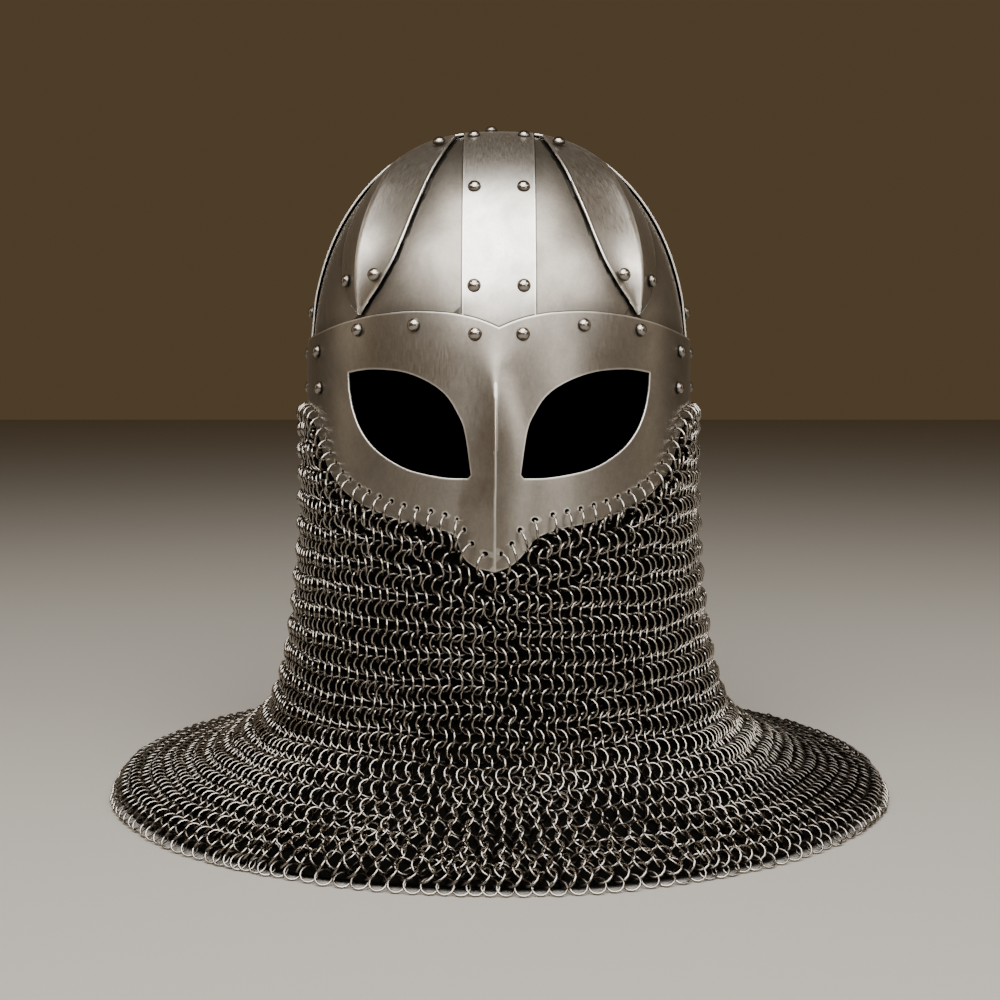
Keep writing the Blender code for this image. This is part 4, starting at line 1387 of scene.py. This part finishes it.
# Azimuths over which the pitch closes up, and over which the mail's side begins, the radius
# that the top row is first counted on, and how far and how often a row's rings are evened out.
PITCH_AZIMUTHS = (35.0, 85.0)
SIDE_AZIMUTHS = (20.0, 65.0)
NECK_RADIUS = 0.120
EVENING = 0.2
EVENING_PASSES = 3

# How a hanging ring differs from the steady lean: less in front, more or less where the mail
# is slack, a random part of lean and nod, a little more in rows that stand proud, in degrees,
# how far those rows stand out, and how much of the looseness the sides lose.
FRONT_LEAN = 7.0
SLACK_LEAN = 4.5
LEAN_SPREAD = 8.0
NOD_SPREAD = 6.0
PROUD_LEAN = 5.0
PROUD = 0.8 * MM
SIDE_TIGHTNESS = 0.6

# The last row's rings: size as a share, run up to the row above, lean at the sides and tilt up
# on the mail, each with its random part in degrees.
LAST_SIZE = 0.78
LAST_DROP = 4.4 * MM
LAST_LEAN = 34.0
LAST_LEAN_SPREAD = 5.0
LAST_NOD = 20.0
LAST_NOD_SPREAD = 4.0

# How far rings lie above the floor and the backing, and where their ends meet, in radians.
CLEARANCE = 0.1 * MM
RING_ENDS = (0.7, 2.4)
HANGER_ENDS = (0.3, 1.2)

# The painted light and shade of the wire: the share of the lean below which a ring that turns less
# is painted no brighter, how strongly the last row is painted light below and dark above, how much
# lighter the wire is painted where the mail lies, and how much painted shade takes that back at its
# left and right side.
SHADE_TURN = 0.45
LAST_ROW_LIGHT = 0.5
HEM_LIGHTENING = 0.15
LEFT_SHADE = 0.55
RIGHT_SHADE = 0.9

# The near-black leather behind the mail, which paints the shade between the rings: thickness,
# how far behind the rings' middle its face lies, how high that face is on the floor, how far it
# goes up inside the plates in front and behind the seam and over how many degrees that changes,
# its run from the hem, its ripple, the lengths that its UV map spans and its faces round and up.
BACKING = 1.0 * MM
BACKING_INSET = 5.0 * MM
BACKING_FLOOR = 1.2 * MM
BACKING_TOP = 3.5 * MM
BACKING_NAPE_TOP = 12.5 * MM
BACKING_END = 6.6 * MM
BACKING_RIPPLE = 0.4 * MM
BACKING_CHANGE = 6.0
BACKING_SPAN = (0.72, 0.3)
BACKING_GRID = (144, 48)


def mail_runs():
    """Places down the middle of the mail: run up from the hem, height, radius."""
    rows = []
    run = 0.0
    previous = None
    lowest = MAIL_PROFILE[-1][0]
    for height in spread(lowest, MAIL_PROFILE[0][0], 700):
        radius = smooth_through(MAIL_PROFILE, height)
        slope = (smooth_through(MAIL_PROFILE, height - MM) - radius) / MM
        tilt = math.hypot(1.0, slope)
        inset = MAIL_INSET * blend(lowest, lowest + INSET_FADE, height)
        spot = Vector((height - inset * slope / tilt, radius - inset / tilt))
        if previous is not None:
            run += (spot - previous).length
        rows.append((run, spot.x, spot.y))
        previous = spot
    return rows


def mail_place(azimuth, run, runs):
    """Centre, and unit directions along the row, up the mail and out, at this run from the hem."""
    index = min(len(runs) - 2, max(0, int(len(runs) * run / runs[-1][0])))
    while index > 0 and runs[index][0] > run:
        index -= 1
    while index < len(runs) - 2 and runs[index + 1][0] < run:
        index += 1
    before, after = runs[index], runs[index + 1]
    share = (run - before[0]) / (after[0] - before[0])
    height = before[1] + (after[1] - before[1]) * share
    radius = before[2] + (after[2] - before[2]) * share
    turn = math.radians(azimuth)
    depth = radius + NECK_EXTRA_DEPTH * blend(*NECK_ROUND_HEIGHTS, height)
    centre = Vector((radius * math.sin(turn), -depth * math.cos(turn), height))
    along = Vector((radius * math.cos(turn), depth * math.sin(turn), 0.0)).normalized()
    level = Vector((along.y, -along.x, 0.0))
    up = (level * (after[2] - before[2]) + Vector((0, 0, after[1] - before[1]))).normalized()
    return centre, along, up, along.cross(up)


def run_at(height, runs):
    """The run up from the hem at which the mail is this high."""
    for before, after in zip(runs, runs[1:]):
        if after[1] >= height:
            rise = after[1] - before[1]
            return before[0] + (after[0] - before[0]) * (height - before[1]) / rise
    return runs[-1][0]


def ring_pitch(azimuth, run, looks):
    """Ring to ring distance along a row: open in front, closer behind, widest at the hem."""
    hanging = looks.front_pitch + (looks.back_pitch - looks.front_pitch) * blend(
        *PITCH_AZIMUTHS, side_of(azimuth))
    return looks.hem_pitch + (hanging - looks.hem_pitch) * blend(0.0, HANGING_RUN, run)


def following(row):
    """Each azimuth of a closed row with the next one round."""
    return list(zip(row, row[1:] + [row[0] + 360.0]))


def next_row(azimuths, run, runs, looks):
    """Azimuths of the row below: between the rings above, with a ring let in where they part."""
    row = [(here + after) / 2 for here, after in following(azimuths)]
    centre = mail_place(0.0, run, runs)[0]
    side = mail_place(90.0, run, runs)[0]
    reach = (abs(centre.y) + abs(side.x)) / 2
    wanted = sum(math.radians(1.0) * reach / ring_pitch(a, run, looks) for a in range(360))
    while len(row) < round(wanted):
        gaps = [
            ((after - here) / ring_pitch((here + after) / 2, run, looks), i, (here + after) / 2)
            for i, (here, after) in enumerate(following(row))]
        _, index, middle = max(gaps)
        row.insert(index + 1, middle)
    for _ in range(EVENING_PASSES):
        moved = []
        for before, (here, after) in zip([row[-1] - 360.0] + row[:-1], following(row)):
            left = (here - before) / ring_pitch((here + before) / 2, run, looks)
            right = (after - here) / ring_pitch((here + after) / 2, run, looks)
            moved.append(here + EVENING * (right - left) / (right + left) * (after - before))
        row = moved
    return row


def ring_matrix(centre, along, up, out, lean, roll):
    """A ring in the mail: turned about the mail's up direction by its lean."""
    first = along * math.cos(lean) + out * math.sin(lean)
    normal = first.cross(up)
    base = Matrix((first, up, normal)).transposed()
    return Matrix.Translation(centre) @ (base @ Matrix.Rotation(roll, 3, 'Z')).to_4x4()


def edge_runs(runs, first_drop):
    """For each degree of azimuth, the run at which the first ring under the plates hangs."""
    tops = []
    for azimuth in range(361):
        height = rim_height(azimuth)
        rise = rim_height(azimuth + RIM_STEP / 2) - rim_height(azimuth - RIM_STEP / 2)
        steep = math.hypot(1.0, rise / flat(RIM_STEP, 0).x)
        tops.append(run_at(height, runs) - min(first_drop * steep, STEEPEST_DROP))
    return tops


def mail_rows(looks):
    """Every ring of the mail as (diameter, place, way out, lightness, height), from the top down.
    """
    draw = random.Random(looks.seed)
    runs = mail_runs()
    tops = edge_runs(runs, looks.ring / 2 - EDGE_OVERLAP)
    levels = [HEM_RUN, HEM_RUN + LAST_DROP]
    while levels[-1] < runs[-1][0]:
        share = blend(*DROP_RUNS, levels[-1])
        levels.append(levels[-1] + (looks.hem_drop + (looks.row_drop - looks.hem_drop) * share))
    levels.reverse()
    count = round(sum(
        math.radians(1.0) * NECK_RADIUS / ring_pitch(a, levels[0], looks) for a in range(360)))
    azimuths = [360.0 * i / count for i in range(count)]
    rings = []
    for row, run in enumerate(levels):
        azimuths = next_row(azimuths, run, runs, looks)
        outer_row = (len(levels) - row) % 2 == 0
        last_row = row == len(levels) - 1
        spread_out = blend(*SPREADING_RUNS, run)
        size = round(1.0 + (looks.hem_size - 1.0) * spread_out, 2)
        for azimuth in azimuths:
            turn = math.radians(azimuth)
            # Long and short waves run round each row, a little further on in the next.
            wave = math.sin(6.0 * turn + 0.4 * row) + 0.6 * math.sin(13.0 * turn - 0.7 * row)
            slack = math.sin(5.0 * turn + 0.55 * row + 1.0) + math.sin(11.0 * turn - 0.3 * row)
            wobble = looks.wave * wave + draw.gauss(0.0, looks.wobble)
            swing = draw.gauss(0.0, looks.wobble)
            aside = blend(*SIDE_AZIMUTHS, side_of(azimuth))
            loose = 1.0 - SIDE_TIGHTNESS * aside
            lean = math.radians(
                looks.lean - FRONT_LEAN * (1.0 - aside) * (1.0 - spread_out)
                + (looks.hem_lean - looks.lean) * spread_out
                + loose * (SLACK_LEAN * slack + draw.gauss(0.0, LEAN_SPREAD)))
            nod = math.radians(looks.nod + loose * draw.gauss(0.0, NOD_SPREAD))
            roll = draw.uniform(*RING_ENDS)
            share = azimuth % 360.0
            low = int(share)
            top = tops[low] + (tops[low + 1] - tops[low]) * (share - low)
            below = (top - run) / looks.row_drop
            nth = round(below)
            if nth < 0:
                continue
            settling = max(0.0, 1.0 - nth / SETTLING_ROWS)
            here = run + wobble + (below - nth) * looks.row_drop * settling
            centre, along, up, out = mail_place(azimuth, here, runs)
            side = 1.0 if outer_row else -1.0
            proud = side * (1.0 - spread_out)
            centre = centre + out * PROUD * proud + along * swing
            lean = side * (lean + math.radians(PROUD_LEAN) * proud)
            if last_row:
                lean = math.radians(
                    LAST_LEAN * math.sin(turn) + draw.gauss(0.0, LAST_LEAN_SPREAD))
                nod = math.radians(draw.gauss(LAST_NOD, LAST_NOD_SPREAD))
            tip = Matrix.Rotation(nod, 3, along)
            up, out = tip @ up, tip @ out
            matrix = ring_matrix(centre, along, up, out, lean, roll)
            across = abs(matrix[2][0]), abs(matrix[2][1])
            ring = looks.ring * (LAST_SIZE if last_row else size)
            reach = math.hypot(*across) * ring / 2 + looks.wire / 2
            matrix[2][3] = max(centre.z, reach + BACKING_FLOOR + CLEARANCE)
            if last_row:
                matrix[2][3] = reach + CLEARANCE
            # The way out tells the side of the wire painted light; the other side is painted dark,
            # as shade and as oily black.  On the last row the light side is its foot.
            turned = abs(math.sin(lean)) / math.sin(math.radians(looks.lean))
            lit_and_scoured = out / max(SHADE_TURN, turned)
            # Painted shade: the wire is darker at the mail's left and right side, more so on the
            # right.
            side_shade = RIGHT_SHADE if centre.x > 0 else LEFT_SHADE
            bare = spread_out * (HEM_LIGHTENING - side_shade * aside)
            # Painted light: on the last row the wire's lower side is painted light and its upper
            # side dark.
            if last_row:
                lit_and_scoured, bare = LAST_ROW_LIGHT * (out - up), HEM_LIGHTENING
            rings.append((ring, matrix, lit_and_scoured, bare, centre.z))
    return rings


# The height at which the two mail nodes meet, and how many rings a piece may have.
MAIL_SPLIT = 0.066
RINGS_A_PIECE = 1300


class HELMET_OT_mail(bpy.types.Operator):
    """Lay the rings of the mail row by row, in a four-in-one pattern"""
    bl_idname = "helmet.mail"
    bl_label = "Mail"

    def execute(self, context):
        looks = context.scene.helmet_mail
        rings = mail_rows(looks)
        for part, node in (("hanging", "mail_collar"), ("spread", "mail_skirt")):
            chosen = [r[:4] for r in rings if (r[4] >= MAIL_SPLIT) == (part == "hanging")]
            pieces = math.ceil(len(chosen) / RINGS_A_PIECE)
            for piece in range(pieces):
                share = chosen[len(chosen) * piece // pieces:len(chosen) * (piece + 1) // pieces]
                finish = material("oiled drawn wire", drawn_wire)
                bm = linked(looks.wire, share)
                add_piece(f"mail_{part}_{piece + 1}", bm, [finish], "mail_steel", node)
        return {'FINISHED'}


class HELMET_OT_backing(bpy.types.Operator):
    """Hang the near-black leather that shows between the rings of the mail, painting the shade
    there
    """
    bl_idname = "helmet.backing"
    bl_label = "Mail Backing"

    def execute(self, context):
        runs = mail_runs()

        def place(u, v):
            azimuth = 360.0 * u
            behind = blend(
                SEAM_AZIMUTH - BACKING_CHANGE, SEAM_AZIMUTH + BACKING_CHANGE, side_of(azimuth))
            reach = BACKING_TOP + (BACKING_NAPE_TOP - BACKING_TOP) * behind
            top = run_at(rim_height(azimuth) + reach, runs)
            run = BACKING_END + (top - BACKING_END) * v
            centre, _, _, out = mail_place(azimuth, run, runs)
            ripple = BACKING_RIPPLE * math.sin(math.radians(11 * azimuth) + 40.0 * run)
            point = centre - out * (BACKING_INSET + ripple)
            point.z = max(point.z, BACKING_FLOOR)
            return point

        def grain(u, v):
            return (BACKING_SPAN[0] * u, BACKING_SPAN[1] * v)

        bm = mapped_grid(BACKING_GRID, place, grain, close=True)
        face_away(bm)
        finish = material("blackened leather", leather_as_shade)
        piece = add_piece("mail_backing", bm, [finish], "mail_steel", "mail_collar", "mail_skirt")
        wall = piece.modifiers.new("leather thickness", 'SOLIDIFY')
        wall.thickness = BACKING
        wall.offset = -1.0
        return {'FINISHED'}


# How much more a hanging ring follows the plumb line than the way square to the plate's edge,
# how far a ring at the side turns to the front and how much that varies, in degrees, how far
# below the hole's edge and outside the plate its middle is, and how much lighter its wire is
# painted over the shade of its inner side.
PLUMB_PULL = 4.0
HANGER_TURN = 24.0
HANGER_SPREAD = 7.0
HANGER_DROP = 0.35 * MM
HANGER_OUT = 1.3 * MM
HANGER_LIGHTENING = 0.1


class HELMET_OT_hangers(bpy.types.Operator):
    """Pass a ring through each hole, from which the mail hangs"""
    bl_idname = "helmet.hangers"
    bl_label = "Hanging Rings"

    def execute(self, context):
        looks = context.scene.helmet_mail
        draw = random.Random(looks.seed + 1)
        edge = [flat(a, straight_rim(a)) for a in spread(-10.0, 370.0, 3000)]
        tree = nearest_tree(edge)
        right = mask_hole_centres()
        holes = right + flipped(right) + nape_hole_centres()
        places = []
        for hole in holes:
            index = tree.find((hole.x, hole.y, 0.0))[1]
            if hole.x < 0.0:
                mirror = tree.find((-hole.x, hole.y, 0.0))[1]
                way = edge[mirror] - Vector((-hole.x, hole.y))
                way.x *= -1.0
            else:
                way = edge[index] - hole
            way = (way + Vector((0.0, way.y * PLUMB_PULL))).normalized()

            def surface(shift):
                spot = hole + shift
                return face_point(*rolled(spot), FACE_STAND_OFF + PLATE / 2)

            step = 0.5 * MM
            here = surface(Vector((0.0, 0.0)))
            down = (surface(way * step) - here).normalized()
            cross = (surface(Vector((-way.y, way.x)) * step) - here).normalized()
            out = down.cross(cross)
            if out.dot(here - Vector((0, 0, NECK_MIDDLE))) < 0:
                out = -out
            cross = out.cross(down)
            aside = here.x / math.hypot(here.x, here.y)
            yaw = math.radians(draw.gauss(HANGER_TURN * aside, HANGER_SPREAD))
            out = Matrix.Rotation(yaw, 3, down) @ out
            centre = here + down * (looks.hanger / 2 + HANGER_DROP) + out * HANGER_OUT
            base = Matrix((down, out, down.cross(out))).transposed()
            roll = Matrix.Rotation(draw.uniform(*HANGER_ENDS), 3, 'Z')
            place = Matrix.Translation(centre) @ (base @ roll).to_4x4()
            # Painted shade: the hanging ring's outer side is painted light and its inner side dark.
            places.append((looks.hanger, place, out * 2.0, HANGER_LIGHTENING))
        bm = linked(looks.hanger_wire, places)
        finish = material("oiled drawn wire", drawn_wire)
        add_piece("mail_hangers", bm, [finish], "mail_steel", "mail_collar")
        return {'FINISHED'}


# Soft boxes: name, size, the looks' power and the share of it, azimuth, elevation and colour.
SOFT_BOX_DISTANCE = 1.6
WARM = (1.0, 0.88, 0.72)
WHITE = (1.0, 0.99, 0.97)
SOFT_BOXES = (
    ("key", (1.5, 1.8), "key_power", 1.0, 0.0, 49.0, WHITE),
    ("left wing", (0.8, 0.32), "wing_power", 0.8, -50.0, 39.0, WHITE),
    ("right wing", (0.8, 0.36), "wing_power", 1.0, 50.0, 31.0, WHITE),
    ("right low", (0.5, 0.5), "low_power", 1.0, 36.0, 6.0, WHITE),
    ("left side", (0.7, 1.3), "side_power", 1.0, -100.0, 20.0, WARM),
    ("right side", (0.7, 1.3), "side_power", 1.0, 100.0, 20.0, WARM),
)

# Half the floor's length, and over what part of the way from front to back the room darkens.
FLOOR_REACH = 6.0
ROOM_TURN = (-0.3, 0.5)

# The camera: place, how far it looks down in degrees, focal length and sensor in millimetres,
# and sideways shift.
CAMERA_PLACE = (0.0, -1.0, 0.254)
CAMERA_DOWN = 4.84
CAMERA_LENS = 59.94
CAMERA_SENSOR = 36.0
CAMERA_SHIFT = 0.001


def add_soft_box(name, size, power, azimuth, elevation, colour):
    """A soft box that faces the helmet from this azimuth and elevation."""
    way = dome_direction(azimuth, elevation)
    lamp = bpy.data.lights.new(name, 'AREA')
    lamp.shape = 'RECTANGLE'
    lamp.size, lamp.size_y = size
    lamp.energy = power
    lamp.color = colour
    light = add_object(name, lamp)
    light.location = Vector((0, 0, HEAD_MIDDLE)) + way * SOFT_BOX_DISTANCE
    light.rotation_euler = (-way).to_track_quat('-Z', 'Y').to_euler()


class HELMET_OT_stage(bpy.types.Operator):
    """Lay the floor, hang the soft boxes and stand the camera"""
    bl_idname = "helmet.stage"
    bl_label = "Stage"

    def execute(self, context):
        looks = context.scene.helmet_stage
        bm = bmesh.new()
        bmesh.ops.create_grid(bm, x_segments=4, y_segments=4, size=FLOOR_REACH)
        floor = add_object("floor", as_mesh("floor", bm))
        floor.data.materials.append(material("matt studio paper", studio_floor))

        world = bpy.data.worlds.new("studio")
        world.use_nodes = True
        tree = world.node_tree
        way = add_node(tree, 'ShaderNodeTexCoord')
        axes = add_node(
            tree, 'ShaderNodeSeparateXYZ', links={"Vector": way.outputs["Generated"]})
        behind = add_node(
            tree, 'ShaderNodeMapRange',
            values={"From Min": ROOM_TURN[0], "From Max": ROOM_TURN[1],
                    "To Min": looks.front, "To Max": looks.back},
            links={"Value": axes.outputs["Y"]})
        add_node(
            tree, "Background", values={"Color": (*looks.surround, 1.0)},
            links={"Strength": behind.outputs["Result"]})
        context.scene.world = world

        for name, size, power, share, azimuth, elevation, colour in SOFT_BOXES:
            add_soft_box(name, size, getattr(looks, power) * share, azimuth, elevation, colour)

        camera = bpy.data.cameras.new("camera")
        camera.sensor_width = CAMERA_SENSOR
        camera.lens = CAMERA_LENS
        camera.shift_x = CAMERA_SHIFT
        view = add_object("camera", camera)
        view.location = CAMERA_PLACE
        view.rotation_euler = (math.radians(90.0 - CAMERA_DOWN), 0.0, 0.0)
        context.scene.camera = view
        return {'FINISHED'}


class HELMET_PT_panel(bpy.types.Panel):
    """Lists the helmet's sizes, finishes and steps"""
    bl_idname = "HELMET_PT_panel"
    bl_label = "Helmet"
    bl_space_type = 'VIEW_3D'
    bl_region_type = 'UI'
    bl_category = "Helmet"

    def draw(self, context):
        for group in (context.scene.helmet_plates, context.scene.helmet_mail,
                      context.scene.helmet_stage):
            box = self.layout.box()
            for name in group.__annotations__:
                box.prop(group, name)
        for step in STEPS:
            self.layout.operator(step.bl_idname)


STEPS = (
    HELMET_OT_stage,
    HELMET_OT_skull,
    HELMET_OT_straps,
    HELMET_OT_leaves,
    HELMET_OT_mask,
    HELMET_OT_nape,
    HELMET_OT_wear,
    HELMET_OT_rivets,
    HELMET_OT_mail,
    HELMET_OT_backing,
    HELMET_OT_hangers,
)
GROUPS = {
    "helmet_plates": HelmetPlateLooks,
    "helmet_mail": HelmetMailLooks,
    "helmet_stage": HelmetStageLooks,
}


def register():
    """Add the settings, the steps and the panel."""
    for group in GROUPS.values():
        bpy.utils.register_class(group)
    for name, group in GROUPS.items():
        setattr(bpy.types.Scene, name, PointerProperty(type=group))
    for step in STEPS:
        bpy.utils.register_class(step)
    bpy.utils.register_class(HELMET_PT_panel)


def unregister():
    """Take them away again."""
    bpy.utils.unregister_class(HELMET_PT_panel)
    for step in reversed(STEPS):
        bpy.utils.unregister_class(step)
    for name, group in GROUPS.items():
        delattr(bpy.types.Scene, name)
        bpy.utils.unregister_class(group)


def main():
    """Dress the helmet step by step."""
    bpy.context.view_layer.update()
    register()
    for step in STEPS:
        category, name = step.bl_idname.split(".")
        getattr(getattr(bpy.ops, category), name)()


if __name__ == "__main__":
    main()
